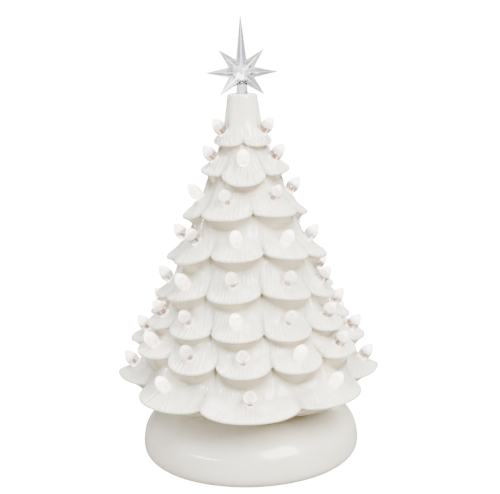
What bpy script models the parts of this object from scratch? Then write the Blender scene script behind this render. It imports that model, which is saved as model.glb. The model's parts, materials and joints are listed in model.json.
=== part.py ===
"""Tabletop ceramic tree with peg bulbs, a clear star and a battery light unit in its base.

Metres, +Z up, front towards -Y. The origin is the centre of the base, on the table.
The tree body lifts off the base, the star lifts out of the tree, and the light unit
(bottom plate, battery box, switch and lamp post) stays in the base.
"""
import math
from collections import namedtuple

import bmesh
import bpy
from mathutils import Matrix, Vector

MM = 0.001
GAP = 0.3 * MM                # left between two pieces that touch

# ---- tree body ------------------------------------------------------------------
TREE_HEIGHT = 263 * MM        # seat to flat top
SKIRT_RADIUS = 117.5 * MM     # tips of the lowest boughs
TREE_WALL = 4.5 * MM
TREE_COLUMNS = 40
TREE_TOP_RADIUS = 14 * MM
TOP_THICKNESS = 8 * MM        # solid crown around the star hole
NECK_SHARE = 0.905            # height share where the smooth crown starts
NECK_RADIUS = 15.5 * MM
FOOT_WIDTH = 11 * MM          # flat ring that rests on the base
LEDGE_THICKNESS = 5.5 * MM    # floor of the tree around its bottom hole

# A row of boughs: height and radius of its tips as shares of the tree, number of
# boughs, angle of its first bough from the front, height of the underside, depth of
# the clefts between boughs, and how much the front and back boughs ride above the
# side ones.
Row = namedtuple("Row", "up out boughs phase under cleft lift")
ROWS = (
    Row(0.055, 1.000, 8, 0, 5 * MM, 0.17, -1.5 * MM),
    Row(0.179, 0.889, 12, -3, 17 * MM, 0.12, -2.0 * MM),
    Row(0.266, 0.775, 11, -7, 12 * MM, 0.12, 0.0),
    Row(0.370, 0.690, 9, -10, 14 * MM, 0.13, 6.0 * MM),
    Row(0.492, 0.597, 8, -8, 14 * MM, 0.14, 5.0 * MM),
    Row(0.624, 0.472, 6, -22, 14 * MM, 0.14, 2.0 * MM),
    Row(0.749, 0.333, 5, -1, 12 * MM, 0.14, -3.0 * MM),
    Row(0.851, 0.213, 3, 180, 8 * MM, 0.13, -1.0 * MM),
)
UNDER_SLOPE = 0.75            # how far an underside comes in for each unit it drops
LIP_IN = 1.6 * MM             # rounding of a bough's lower edge
LIP_DROP = 3.0 * MM
CLEFT_RISE = 3.5 * MM         # the edge climbs this much into a cleft
CLEFT_CLIMB = 6.0 * MM        # the crease behind it climbs this much
CLEFT_POWER = 2.4             # higher values give broader boughs
SLOPE_STEPS = ((0.30, 0.17), (0.62, 0.50))    # share of the way in, share of the climb

# ---- peg bulbs --------------------------------------------------------------------
BULB_RADIUS = 5.6 * MM
BULB_LENGTH = 16.5 * MM       # above the seat
BULB_FOOT_RADIUS = 4.2 * MM
BULB_SIDES = 8
PEG_RADIUS = 2.4 * MM
PEG_LENGTH = 9 * MM
PEG_CLEARANCE = 0.3 * MM
BULB_TILT = 38                # degrees from upright, leaning outwards
SEAT_MARGIN = 0.8 * MM        # room between a bulb and the glaze around it
SEAT_RADIUS = BULB_FOOT_RADIUS + SEAT_MARGIN
SEAT_DEPTH = 1.0 * MM
BULB_HOLE_LENGTH = 16 * MM
FRONT_HALF = 99               # degrees each way in which the bulbs are separate solids

# ---- star -------------------------------------------------------------------------
STAR_CENTRE_HEIGHT = 18 * MM  # above the flat top
STAR_TOP_POINT = 51 * MM
STAR_SIDE_POINT = 32 * MM
STAR_DIAGONAL_POINT = 28 * MM
STAR_INNER_RADIUS = 12 * MM
STAR_HALF_DEPTH = 10 * MM
STEM_RADIUS = 5.5 * MM
STAR_PEG_RADIUS = 4.2 * MM
STAR_PEG_LENGTH = 14 * MM
STAR_PEG_CLEARANCE = 0.4 * MM

# ---- base -------------------------------------------------------------------------
BASE_RADIUS = 97 * MM
BASE_HEIGHT = 61.7 * MM       # table to the shelf that carries the tree
BASE_WALL = 6 * MM
BASE_COLUMNS = 40
PAD_THICKNESS = 1.5 * MM
PAD_RADIUS = 5 * MM
PAD_COUNT = 4
FOOT_OUTER_INSET = 13 * MM    # equator to the outer edge of the foot
FOOT_RING_WIDTH = 10 * MM
FOOT_LEDGE_WIDTH = 5 * MM     # the bottom plate lies against this
FOOT_LEDGE_THICKNESS = 4 * MM
RECESS = 6 * MM               # table to the underside of the bottom plate
COLLAR_RADIUS = 46 * MM
COLLAR_WALL = 5 * MM
COLLAR_HEIGHT = 8 * MM
COLLAR_CLEARANCE = 0.8 * MM

# ---- light unit -------------------------------------------------------------------
PLATE_THICKNESS = 2.7 * MM
PLATE_CLEARANCE = 0.5 * MM
CELL_RADIUS = 7.25 * MM
CELL_LENGTH = 50.5 * MM
CELL_NUB_RADIUS = 2.75 * MM
CELL_NUB_LENGTH = 1.3 * MM
CELL_COUNT = 3
CELL_CLEARANCE = 0.5 * MM      # between two cells
CONTACT_THICKNESS = 0.6 * MM
CONTACT_BUMP = 1.2 * MM
CONTACT_SUNK = 0.45 * MM       # a strip stands this far down in the plate's mouth
BOX_WALL = 1.6 * MM
DOOR_THICKNESS = 1.6 * MM
DOOR_OVERLAP = 2.5 * MM
RAIL_WIDTH = 3 * MM
RAIL_LIP = 1 * MM
SWITCH_X = -45 * MM
SWITCH_TRAVEL = 3 * MM
SLIDER_SIZE = (3.4 * MM, 3.4 * MM)
SLIDER_PROUD = 1.4 * MM       # below the plate
SLIDER_CLEARANCE = 0.3 * MM
SWITCH_HEIGHT = 7 * MM
SWITCH_WALL = 1.5 * MM
POST_RADIUS = 7 * MM
POST_BORE = 5 * MM
POST_FLANGE_RADIUS = 14 * MM
POST_FLANGE_THICKNESS = 2.5 * MM
POST_TOP = 118 * MM
HEAD_RADIUS = 12.8 * MM
HEAD_THICKNESS = 3 * MM
BOARD_RADIUS = 11 * MM
BOARD_THICKNESS = 1.6 * MM
LED_RADIUS = 2.5 * MM
LED_HEIGHT = 8.6 * MM
LED_COUNT = 3
LED_CIRCLE = 6 * MM
DIFFUSER_WALL = 1.2 * MM
DIFFUSER_HEIGHT = 24 * MM

# ---- heights and radii that follow ------------------------------------------------
TREE_SEAT = BASE_HEIGHT + GAP
TREE_TOP = TREE_SEAT + TREE_HEIGHT
TREE_HOLE_RADIUS = COLLAR_RADIUS + COLLAR_CLEARANCE
FOOT_BOTTOM = PAD_THICKNESS + GAP
FOOT_OUTER_RADIUS = BASE_RADIUS - FOOT_OUTER_INSET
FOOT_INNER_RADIUS = FOOT_OUTER_RADIUS - FOOT_RING_WIDTH
PLATE_RADIUS = FOOT_INNER_RADIUS - PLATE_CLEARANCE
PLATE_TOP = RECESS + PLATE_THICKNESS
LEDGE_HEIGHT = PLATE_TOP + GAP
CELL_SPACING = 2 * CELL_RADIUS + CELL_CLEARANCE
BAY_WIDTH = (CELL_COUNT - 1) * CELL_SPACING + 2 * CELL_RADIUS + 2 * GAP
BAY_LENGTH = CELL_LENGTH + 2 * (CONTACT_THICKNESS + CONTACT_BUMP) + 6 * GAP
DOOR_TOP = RECESS - GAP
CELL_AXIS_HEIGHT = DOOR_TOP + GAP + CELL_RADIUS
BAY_TOP = CELL_AXIS_HEIGHT + CELL_RADIUS + GAP
BOX_BOTTOM = PLATE_TOP + GAP
BOX_TOP = BAY_TOP + BOX_WALL
DOOR_WIDTH = BAY_WIDTH + 2 * DOOR_OVERLAP
DOOR_LENGTH = BAY_LENGTH + 2 * DOOR_OVERLAP


# ---- materials --------------------------------------------------------------------
def material(name, colour, roughness, metallic=0.0, transmission=0.0):
    made = bpy.data.materials.new(name)
    made.use_nodes = True
    shader = made.node_tree.nodes["Principled BSDF"]
    shader.inputs["Base Color"].default_value = (*colour, 1.0)
    shader.inputs["Roughness"].default_value = roughness
    shader.inputs["Metallic"].default_value = metallic
    shader.inputs["Transmission Weight"].default_value = transmission
    return made


# ---- mesh helpers -----------------------------------------------------------------
def finish(bm, name, finish_material, smooth=True):
    """Turn a bmesh into a named object with its faces pointing out."""
    bmesh.ops.recalc_face_normals(bm, faces=bm.faces)
    mesh = bpy.data.meshes.new(name)
    bm.to_mesh(mesh)
    bm.free()
    mesh.materials.append(finish_material)
    if smooth:
        mesh.shade_smooth()
        mesh.set_sharp_from_angle(angle=math.radians(35))
    made = bpy.data.objects.new(name, mesh)
    bpy.context.collection.objects.link(made)
    return made


def turned(profile, steps, closed=False):
    """Spin (radius, height) points about Z. A closed profile makes a ring."""
    bm = bmesh.new()
    points = [bm.verts.new((r, 0.0, z)) for r, z in profile]
    loops = list(zip(points, points[1:]))
    if closed:
        loops.append((points[-1], points[0]))
    edges = [bm.edges.new(pair) for pair in loops]
    bmesh.ops.spin(bm, geom=points + edges, cent=(0, 0, 0), axis=(0, 0, 1),
                   angle=math.tau, steps=steps, use_merge=True)
    bmesh.ops.remove_doubles(bm, verts=bm.verts, dist=0.001 * MM)
    return bm


def block(low, high):
    """A box between two corners."""
    bm = bmesh.new()
    low, high = Vector(low), Vector(high)
    size = high - low
    place = Matrix.Translation((low + high) / 2) @ Matrix.Diagonal((*size, 1.0))
    bmesh.ops.create_cube(bm, size=1.0, matrix=place)
    return bm


def joined(target, source):
    """Copy one bmesh into another."""
    holder = bpy.data.meshes.new("holder")
    source.to_mesh(holder)
    source.free()
    target.from_mesh(holder)
    bpy.data.meshes.remove(holder)


def tool(bm, name):
    """A hidden object that only shapes another one."""
    bmesh.ops.recalc_face_normals(bm, faces=bm.faces)
    mesh = bpy.data.meshes.new(name)
    bm.to_mesh(mesh)
    bm.free()
    made = bpy.data.objects.new(name, mesh)
    made.hide_render = True
    made.display_type = 'WIRE'
    bpy.context.collection.objects.link(made)
    return made


def shape_with(target, operation, bm, name):
    """Add a Boolean that cuts, or unites, a hidden shape."""
    modifier = target.modifiers.new(name, 'BOOLEAN')
    modifier.operation = operation
    modifier.solver = 'EXACT'
    modifier.object = tool(bm, name)


# ---- tree surface -----------------------------------------------------------------
def bough_wave(row, angle):
    """1 in the middle of a bough, 0 in the clefts on either side."""
    step = math.tau / row.boughs
    turn = (angle - math.radians(row.phase)) / step + 0.5
    return 1.0 - abs(2.0 * (turn % 1.0) - 1.0) ** CLEFT_POWER


def row_lift(row, angle):
    return row.lift * math.cos(2 * angle)


def tip_point(row, angle):
    gap = 1.0 - bough_wave(row, angle)
    radius = SKIRT_RADIUS * row.out * (1.0 - row.cleft * gap)
    height = TREE_SEAT + TREE_HEIGHT * row.up + row_lift(row, angle) + CLEFT_RISE * gap
    return radius, height


def lip_point(row, angle):
    radius, height = tip_point(row, angle)
    return radius - LIP_IN, height - LIP_DROP


def crease_point(row, angle):
    """Where a row's underside meets the boughs below it."""
    gap = 1.0 - bough_wave(row, angle)
    radius = SKIRT_RADIUS * row.out - UNDER_SLOPE * row.under
    radius *= 1.0 - 0.5 * row.cleft * gap
    height = TREE_SEAT + TREE_HEIGHT * row.up - row.under + row_lift(row, angle)
    return radius, height + CLEFT_CLIMB * gap


def neck_point(angle):
    return NECK_RADIUS, TREE_SEAT + TREE_HEIGHT * NECK_SHARE


def between(start, end, share_in, share_up, angle):
    """A point on the upper side of a bough, from its tip to the crease above."""
    r0, z0 = start(angle)
    r1, z1 = end(angle)
    return r0 + (r1 - r0) * share_in, z0 + (z1 - z0) * share_up


def row_functions(index):
    """The tip of a row and the crease, or the neck, above it."""
    row = ROWS[index]
    above = neck_point
    if index + 1 < len(ROWS):
        above = lambda angle: crease_point(ROWS[index + 1], angle)
    return (lambda angle: tip_point(row, angle)), above


def slope_point(index, step, angle):
    tip, above = row_functions(index)
    return between(tip, above, *SLOPE_STEPS[step], angle)


def fixed(radius, height):
    return lambda angle: (radius, height)


def underside_point(angle):
    """The nearly flat bottom of the lowest boughs, before it turns up to their edge."""
    radius, height = lip_point(ROWS[0], angle)
    foot = TREE_HOLE_RADIUS + FOOT_WIDTH
    return foot + 0.7 * (radius - foot), TREE_SEAT + 0.2 * (height - TREE_SEAT)


def outer_rings():
    """Ring functions up the outside, from the bottom hole to the star hole."""
    rings = [fixed(TREE_HOLE_RADIUS, TREE_SEAT),
             fixed(TREE_HOLE_RADIUS + FOOT_WIDTH, TREE_SEAT), underside_point]
    for index, row in enumerate(ROWS):
        if index:
            rings.append(lambda angle, row=row: crease_point(row, angle))
        rings.append(lambda angle, row=row: lip_point(row, angle))
        rings.append(lambda angle, row=row: tip_point(row, angle))
        for step in range(len(SLOPE_STEPS)):
            rings.append(lambda angle, index=index, step=step: slope_point(index, step, angle))
    rings += [neck_point, fixed(TREE_TOP_RADIUS, TREE_TOP - 1.5 * MM),
              fixed(TREE_TOP_RADIUS - 1.5 * MM, TREE_TOP),
              fixed(STAR_PEG_RADIUS + STAR_PEG_CLEARANCE, TREE_TOP)]
    return rings


def cavity_ring(row, point, above_tip):
    """A round ring inside the wall, which rides up and down with its row."""
    reach = min(point(row, math.radians(degrees))[0] for degrees in range(360))
    level = TREE_SEAT + TREE_HEIGHT * row.up + above_tip
    return lambda angle: (reach - TREE_WALL, level + row_lift(row, angle))


def inner_rings():
    """Ring functions down the cavity, from the crown to the floor."""
    bore = STAR_PEG_RADIUS + STAR_PEG_CLEARANCE
    crown = TREE_TOP - TOP_THICKNESS
    neck = TREE_SEAT + TREE_HEIGHT * NECK_SHARE
    rings = [fixed(bore, crown), fixed(NECK_RADIUS - TREE_WALL - 1 * MM, crown - 4 * MM),
             fixed(NECK_RADIUS - TREE_WALL, neck)]
    for row in reversed(ROWS):
        rings.append(cavity_ring(row, tip_point, CLEFT_RISE - LIP_DROP))
        if row is not ROWS[0]:
            rings.append(cavity_ring(row, crease_point, CLEFT_CLIMB - row.under))
            rings.append(cavity_ring(row, crease_point, -row.under - LIP_DROP))
    floor = TREE_SEAT + LEDGE_THICKNESS
    corner = rings[-1](0.0)[0] - 9 * MM
    rings += [fixed(corner, floor + 1.5 * MM), fixed(TREE_HOLE_RADIUS + 2 * MM, floor),
              fixed(TREE_HOLE_RADIUS, floor - 1 * MM)]
    return rings


def make_tree(glaze):
    """One hollow wall: a turned ring whose loops are then pushed out into boughs."""
    rings = outer_rings() + inner_rings()
    bm = bmesh.new()
    index_layer = bm.verts.layers.int.new("ring")
    points = []
    for number, ring in enumerate(rings):
        radius, height = ring(0.0)
        vert = bm.verts.new((radius, 0.0, height))
        vert[index_layer] = number
        points.append(vert)
    edges = [bm.edges.new((a, b)) for a, b in zip(points, points[1:] + points[:1])]
    bmesh.ops.spin(bm, geom=points + edges, cent=(0, 0, 0), axis=(0, 0, 1),
                   angle=math.tau, steps=TREE_COLUMNS, use_merge=True)
    for vert in bm.verts:
        turn = math.atan2(vert.co.y, vert.co.x)
        radius, height = rings[vert[index_layer]](turn + math.pi / 2)
        vert.co = (radius * math.cos(turn), radius * math.sin(turn), height)
    bm.verts.layers.int.remove(index_layer)
    tree = finish(bm, "tree_shell", glaze)
    shape_with(tree, 'DIFFERENCE', bulb_hole_cutter(), "bulb_holes")
    return tree


# ---- bulbs ------------------------------------------------------------------------
def bulb_places():
    """Row index and angle of each bulb: one on every bough."""
    places = []
    for index, row in enumerate(ROWS):
        for i in range(row.boughs):
            angle = (row.phase + 360 * i / row.boughs + 180) % 360 - 180
            places.append((index, angle))
    return places


def bulb_matrix(index, degrees):
    """Place of a bulb: its foot on the bough, its axis leaning outwards."""
    angle = math.radians(degrees)
    radius, height = slope_point(index, len(SLOPE_STEPS) - 1, angle)
    out = Vector((math.sin(angle), -math.cos(angle), 0.0))
    axis = math.sin(math.radians(BULB_TILT)) * out
    axis.z = math.cos(math.radians(BULB_TILT))
    spot = radius * out + Vector((0, 0, height)) - SEAT_DEPTH * axis
    side = Vector((math.cos(angle), math.sin(angle), 0.0))
    back = axis.cross(side)
    turn = Matrix((side, back, axis)).transposed().to_4x4()
    return Matrix.Translation(spot) @ turn


def front_bulbs():
    return [place for place in bulb_places() if abs(place[1]) <= FRONT_HALF]


def bulb_hole_cutter():
    """Stepped drills, one for each bulb: a shallow seat and a hole to the cavity."""
    bore = PEG_RADIUS + PEG_CLEARANCE
    wide = BULB_RADIUS + SEAT_MARGIN
    drill = [(0, -BULB_HOLE_LENGTH), (bore, -BULB_HOLE_LENGTH), (bore, 0), (SEAT_RADIUS, 0),
             (wide, 0.25 * BULB_LENGTH), (wide, 0.55 * BULB_LENGTH), (0, 0.55 * BULB_LENGTH)]
    drills = bmesh.new()
    for index, degrees in front_bulbs():
        one = turned(drill, BULB_SIDES)
        one.transform(bulb_matrix(index, degrees))
        joined(drills, one)
    return drills


def bulb_mesh(clear):
    """A flame-shaped bulb on a peg."""
    shape = [(0, -PEG_LENGTH), (PEG_RADIUS, -PEG_LENGTH), (PEG_RADIUS, GAP),
             (BULB_FOOT_RADIUS, GAP), (BULB_RADIUS, 0.30 * BULB_LENGTH),
             (0.93 * BULB_RADIUS, 0.52 * BULB_LENGTH), (0.58 * BULB_RADIUS, 0.80 * BULB_LENGTH),
             (0.22 * BULB_RADIUS, 0.96 * BULB_LENGTH), (0, BULB_LENGTH)]
    return finish(turned(shape, BULB_SIDES), "bulb_01", clear)


def make_bulbs(clear):
    first = bulb_mesh(clear)
    for number, (index, degrees) in enumerate(front_bulbs(), start=1):
        bulb = first
        if number > 1:
            bulb = bpy.data.objects.new(f"bulb_{number:02d}", first.data)
            bpy.context.collection.objects.link(bulb)
        bulb.matrix_world = bulb_matrix(index, degrees)


# ---- star -------------------------------------------------------------------------
def star_outline():
    """Eight points and the notches between them, as (x, z) about the centre."""
    reach = {0: STAR_TOP_POINT, 90: STAR_SIDE_POINT, 270: STAR_SIDE_POINT,
             180: STAR_HALF_DEPTH}
    outline = []
    for turn in range(0, 360, 45):
        length = reach.get(turn, STAR_DIAGONAL_POINT)
        for degrees, radius in ((turn, length), (turn + 22.5, STAR_INNER_RADIUS)):
            angle = math.radians(degrees)
            outline.append((radius * math.sin(angle), radius * math.cos(angle)))
    return outline


def make_star(clear):
    """A faceted star, united with the stem that stands in the tree."""
    bm = bmesh.new()
    rim = [bm.verts.new((x, 0.0, z)) for x, z in star_outline()]
    for side in (-1, 1):
        peak = bm.verts.new((0.0, side * STAR_HALF_DEPTH, 0.0))
        for a, b in zip(rim, rim[1:] + rim[:1]):
            bm.faces.new((a, b, peak))
    centre = TREE_TOP + STAR_CENTRE_HEIGHT
    bm.transform(Matrix.Translation((0, 0, centre)))
    star = finish(bm, "star_topper", clear, smooth=False)
    stem = [(0, TREE_TOP - STAR_PEG_LENGTH), (STAR_PEG_RADIUS, TREE_TOP - STAR_PEG_LENGTH),
            (STAR_PEG_RADIUS, TREE_TOP + GAP), (STEM_RADIUS, TREE_TOP + GAP),
            (STEM_RADIUS, centre - 0.6 * STAR_INNER_RADIUS), (0, centre)]
    shape_with(star, 'UNION', turned(stem, 12), "star_stem")
    return star


# ---- base -------------------------------------------------------------------------
def base_outline():
    """Outside of the base, from the foot up to the shelf."""
    shelf = COLLAR_RADIUS + FOOT_WIDTH
    drop = BASE_RADIUS - shelf
    rise = BASE_HEIGHT - FOOT_BOTTOM
    curve = ((0.33, 0.00), (0.13, 0.035), (0.03, 0.105), (0.00, 0.185), (0.01, 0.30),
             (0.05, 0.43), (0.13, 0.53), (0.26, 0.63), (0.45, 0.72), (0.66, 0.79),
             (0.86, 0.85), (0.98, 0.92), (1.00, 1.00))
    return [(BASE_RADIUS - share_in * drop, FOOT_BOTTOM + share_up * rise)
            for share_in, share_up in curve]


def base_cavity():
    """Inside of the base, from the collar down to the foot."""
    shelf = COLLAR_RADIUS + FOOT_WIDTH
    drop = BASE_RADIUS - shelf
    rise = BASE_HEIGHT - FOOT_BOTTOM
    bore = COLLAR_RADIUS - COLLAR_WALL
    curve = ((0.90, 0.74), (0.68, 0.68), (0.44, 0.60), (0.26, 0.50), (0.17, 0.38), (0.15, 0.26))
    wall = [(BASE_RADIUS - share_in * drop, FOOT_BOTTOM + share_up * rise)
            for share_in, share_up in curve]
    mouth = FOOT_INNER_RADIUS - FOOT_LEDGE_WIDTH
    return ([(bore, BASE_HEIGHT + COLLAR_HEIGHT), (bore, BASE_HEIGHT - BASE_WALL)] + wall
            + [(mouth + 2 * MM, LEDGE_HEIGHT + FOOT_LEDGE_THICKNESS),
               (mouth, LEDGE_HEIGHT + FOOT_LEDGE_THICKNESS - 1 * MM), (mouth, LEDGE_HEIGHT),
               (FOOT_INNER_RADIUS, LEDGE_HEIGHT), (FOOT_INNER_RADIUS, FOOT_BOTTOM)])


def make_base(glaze):
    collar = [(COLLAR_RADIUS, BASE_HEIGHT),
              (COLLAR_RADIUS, BASE_HEIGHT + COLLAR_HEIGHT - 1 * MM),
              (COLLAR_RADIUS - 1 * MM, BASE_HEIGHT + COLLAR_HEIGHT)]
    profile = base_outline() + collar + base_cavity()
    return finish(turned(profile, BASE_COLUMNS, closed=True), "base_shell", glaze)


def make_pads(felt):
    middle = (FOOT_INNER_RADIUS + base_outline()[0][0]) / 2
    for number in range(PAD_COUNT):
        angle = math.tau * (number + 0.5) / PAD_COUNT
        bm = turned([(0, 0), (PAD_RADIUS, 0), (PAD_RADIUS, PAD_THICKNESS), (0, PAD_THICKNESS)], 16)
        pad = finish(bm, f"foot_pad_{number + 1}", felt)
        pad.location = (middle * math.cos(angle), middle * math.sin(angle), 0)


# ---- light unit -------------------------------------------------------------------
def make_plate(plastic):
    """Disc that closes the base, with the bay's mouth, the switch slot and two rails."""
    plate = finish(turned([(0, RECESS), (PLATE_RADIUS, RECESS), (PLATE_RADIUS, PLATE_TOP),
                           (0, PLATE_TOP)], BASE_COLUMNS), "bottom_plate", plastic)
    rail_bottom = DOOR_TOP - DOOR_THICKNESS - GAP - RAIL_LIP
    inner = DOOR_WIDTH / 2 + GAP
    for side, name in ((-1, "rail_left"), (1, "rail_right")):
        low, high = sorted((side * (inner - 1.2 * MM), side * (inner + RAIL_WIDTH)))
        rail = block((low, -DOOR_LENGTH / 2, rail_bottom), (high, DOOR_LENGTH / 2, RECESS + 1 * MM))
        shape_with(plate, 'UNION', rail, name)
    track = block((-inner, -DOOR_LENGTH, rail_bottom + RAIL_LIP), (inner, DOOR_LENGTH, RECESS))
    shape_with(plate, 'DIFFERENCE', track, "door_track")
    mouth = block((-BAY_WIDTH / 2, -BAY_LENGTH / 2, RECESS - 1 * MM),
                  (BAY_WIDTH / 2, BAY_LENGTH / 2, PLATE_TOP + 1 * MM))
    shape_with(plate, 'DIFFERENCE', mouth, "bay_mouth")
    half_x = SLIDER_SIZE[0] / 2 + SLIDER_CLEARANCE
    half_y = SLIDER_SIZE[1] / 2 + SLIDER_CLEARANCE
    slot = block((SWITCH_X - half_x, -half_y - SWITCH_TRAVEL, RECESS - 1 * MM),
                 (SWITCH_X + half_x, half_y, PLATE_TOP + 1 * MM))
    shape_with(plate, 'DIFFERENCE', slot, "switch_slot")
    return plate


def make_battery_box(plastic):
    """A tray with its open side down, over the mouth in the plate."""
    wide = BAY_WIDTH / 2 + BOX_WALL
    long = BAY_LENGTH / 2 + BOX_WALL
    box = finish(block((-wide, -long, BOX_BOTTOM), (wide, long, BOX_TOP)),
                 "battery_box", plastic, smooth=False)
    bay = block((-BAY_WIDTH / 2, -BAY_LENGTH / 2, BOX_BOTTOM - 1 * MM),
                (BAY_WIDTH / 2, BAY_LENGTH / 2, BAY_TOP))
    shape_with(box, 'DIFFERENCE', bay, "battery_bay")
    return box


def make_cells(jacket):
    """Three round cells side by side, the middle one turned round."""
    half = CELL_LENGTH / 2
    shape = [(0, -half), (CELL_RADIUS, -half), (CELL_RADIUS, half - CELL_NUB_LENGTH),
             (CELL_NUB_RADIUS, half - CELL_NUB_LENGTH), (CELL_NUB_RADIUS, half), (0, half)]
    for number in range(CELL_COUNT):
        cell = finish(turned(shape, 12), f"battery_{number + 1}", jacket)
        x = (number - (CELL_COUNT - 1) / 2) * CELL_SPACING
        facing = math.pi / 2 if number % 2 else -math.pi / 2
        cell.matrix_world = (Matrix.Translation((x, 0, CELL_AXIS_HEIGHT))
                             @ Matrix.Rotation(facing, 4, 'X'))


def make_contacts(metal):
    """A strip at each end of the bay, with a raised spot for each cell."""
    width = BAY_WIDTH / 2 - 1.5 * MM
    bottom = PLATE_TOP - CONTACT_SUNK
    top = 2 * CELL_AXIS_HEIGHT - bottom
    for side, name in ((-1, "contact_front"), (1, "contact_rear")):
        outer = side * (BAY_LENGTH / 2 - GAP)
        inner = outer - side * CONTACT_THICKNESS
        low, high = sorted((outer, inner))
        strip = finish(block((-width, low, bottom), (width, high, top)), name, metal,
                       smooth=False)
        for number in range(CELL_COUNT):
            x = (number - (CELL_COUNT - 1) / 2) * CELL_SPACING
            bump = bmesh.new()
            y = (outer + inner) / 2 - side * CONTACT_BUMP / 2
            spot = (Matrix.Translation((x, y, CELL_AXIS_HEIGHT))
                    @ Matrix.Rotation(side * math.pi / 2, 4, 'X'))
            bmesh.ops.create_cone(bump, cap_ends=True, segments=12, matrix=spot,
                                  radius1=4 * MM, radius2=1.5 * MM,
                                  depth=CONTACT_BUMP + CONTACT_THICKNESS)
            shape_with(strip, 'UNION', bump, f"{name}_{number + 1}")


def make_door(plastic):
    """Sliding lid under the bay, with finger ribs near its rear edge."""
    low = DOOR_TOP - DOOR_THICKNESS
    lid = block((-DOOR_WIDTH / 2, -DOOR_LENGTH / 2, low),
                (DOOR_WIDTH / 2, DOOR_LENGTH / 2, DOOR_TOP))
    door = finish(lid, "battery_door", plastic, smooth=False)
    for number in range(3):
        y = -DOOR_LENGTH / 2 + (6 + 4 * number) * MM
        rib = block((-10 * MM, y, low - 0.7 * MM), (10 * MM, y + 1.5 * MM, low + 0.5 * MM))
        shape_with(door, 'UNION', rib, f"door_rib_{number + 1}")
    return door


def make_switch(plastic, dark):
    """A slide switch: its body above the plate, its slider through the slot."""
    half_x = SLIDER_SIZE[0] / 2 + SLIDER_CLEARANCE
    half_y = SLIDER_SIZE[1] / 2 + SLIDER_CLEARANCE
    top = BOX_BOTTOM + SWITCH_HEIGHT
    rear = half_y + SWITCH_TRAVEL
    case = block((SWITCH_X - half_x - SWITCH_WALL, -rear - SWITCH_WALL, BOX_BOTTOM),
                 (SWITCH_X + half_x + SWITCH_WALL, half_y + SWITCH_WALL, top))
    body = finish(case, "switch_body", dark, smooth=False)
    room = block((SWITCH_X - half_x, -rear, BOX_BOTTOM - 1 * MM),
                 (SWITCH_X + half_x, half_y, top - SWITCH_WALL))
    shape_with(body, 'DIFFERENCE', room, "switch_room")
    slider_height = top - SWITCH_WALL - GAP - RECESS + SLIDER_PROUD
    bar = block((-SLIDER_SIZE[0] / 2, -SLIDER_SIZE[1] / 2, 0),
                (SLIDER_SIZE[0] / 2, SLIDER_SIZE[1] / 2, slider_height))
    slider = finish(bar, "switch_slider", plastic, smooth=False)
    slider.location = (SWITCH_X, 0, RECESS - SLIDER_PROUD)


def make_lamp(plastic, board_green, led_clear, frosted):
    """Hollow post on the battery box, with three lamps under a frosted cap."""
    foot = BOX_TOP + GAP
    flange = foot + POST_FLANGE_THICKNESS
    post = [(POST_BORE, foot), (POST_FLANGE_RADIUS, foot), (POST_FLANGE_RADIUS, flange),
            (POST_RADIUS, flange), (POST_RADIUS, POST_TOP - HEAD_THICKNESS),
            (HEAD_RADIUS, POST_TOP - HEAD_THICKNESS), (HEAD_RADIUS, POST_TOP),
            (POST_BORE, POST_TOP)]
    finish(turned(post, 16, closed=True), "light_post", plastic)
    low = POST_TOP + GAP
    top = low + BOARD_THICKNESS
    board = [(0, low), (BOARD_RADIUS, low), (BOARD_RADIUS, top), (0, top)]
    finish(turned(board, 16), "led_board", board_green)
    body = LED_HEIGHT - LED_RADIUS
    led = [(0, 0), (LED_RADIUS, 0), (LED_RADIUS, body)]
    led += [(LED_RADIUS * math.cos(a), body + LED_RADIUS * math.sin(a))
            for a in (math.radians(30), math.radians(60))]
    led.append((0, LED_HEIGHT))
    for number in range(LED_COUNT):
        angle = math.tau * (number + 0.25) / LED_COUNT
        lamp = finish(turned(led, 10), f"led_{number + 1}", led_clear)
        lamp.location = (LED_CIRCLE * math.cos(angle), LED_CIRCLE * math.sin(angle), top + GAP)
    inside = HEAD_RADIUS - DIFFUSER_WALL
    cap_top = low + DIFFUSER_HEIGHT
    cap = [(inside, low), (HEAD_RADIUS, low), (HEAD_RADIUS, cap_top - 8 * MM),
           (0.75 * HEAD_RADIUS, cap_top - 3 * MM), (0, cap_top), (0, cap_top - DIFFUSER_WALL),
           (0.72 * inside, cap_top - 3 * MM - DIFFUSER_WALL), (inside, cap_top - 8 * MM - DIFFUSER_WALL)]
    finish(turned(cap, 16, closed=True), "light_diffuser", frosted)


def main():
    for old in list(bpy.data.objects):
        bpy.data.objects.remove(old)
    glaze = material("glazed_ceramic", (0.86, 0.84, 0.79), 0.22)
    clear = material("clear_plastic", (0.93, 0.92, 0.90), 0.08, transmission=0.8)
    felt = material("felt", (0.55, 0.54, 0.52), 0.95)
    white = material("white_plastic", (0.82, 0.82, 0.80), 0.45)
    dark = material("dark_plastic", (0.05, 0.05, 0.05), 0.5)
    jacket = material("cell_jacket", (0.12, 0.13, 0.15), 0.35)
    metal = material("nickel_plate", (0.62, 0.62, 0.60), 0.3, metallic=1.0)
    board = material("circuit_board", (0.06, 0.22, 0.12), 0.5)
    frosted = material("frosted_plastic", (0.93, 0.92, 0.88), 0.6, transmission=0.5)
    make_tree(glaze)
    make_bulbs(clear)
    make_star(clear)
    make_base(glaze)
    make_pads(felt)
    make_plate(white)
    make_battery_box(white)
    make_cells(jacket)
    make_contacts(metal)
    make_door(white)
    make_switch(white, dark)
    make_lamp(white, board, clear, frosted)


if __name__ == "__main__":
    main()
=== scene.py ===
import json
import math
from collections import namedtuple

import bmesh
import bpy
import numpy as np
from bpy.props import (BoolProperty, FloatProperty, FloatVectorProperty, IntProperty,
                       PointerProperty)
from mathutils import Matrix, Vector, noise

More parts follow.
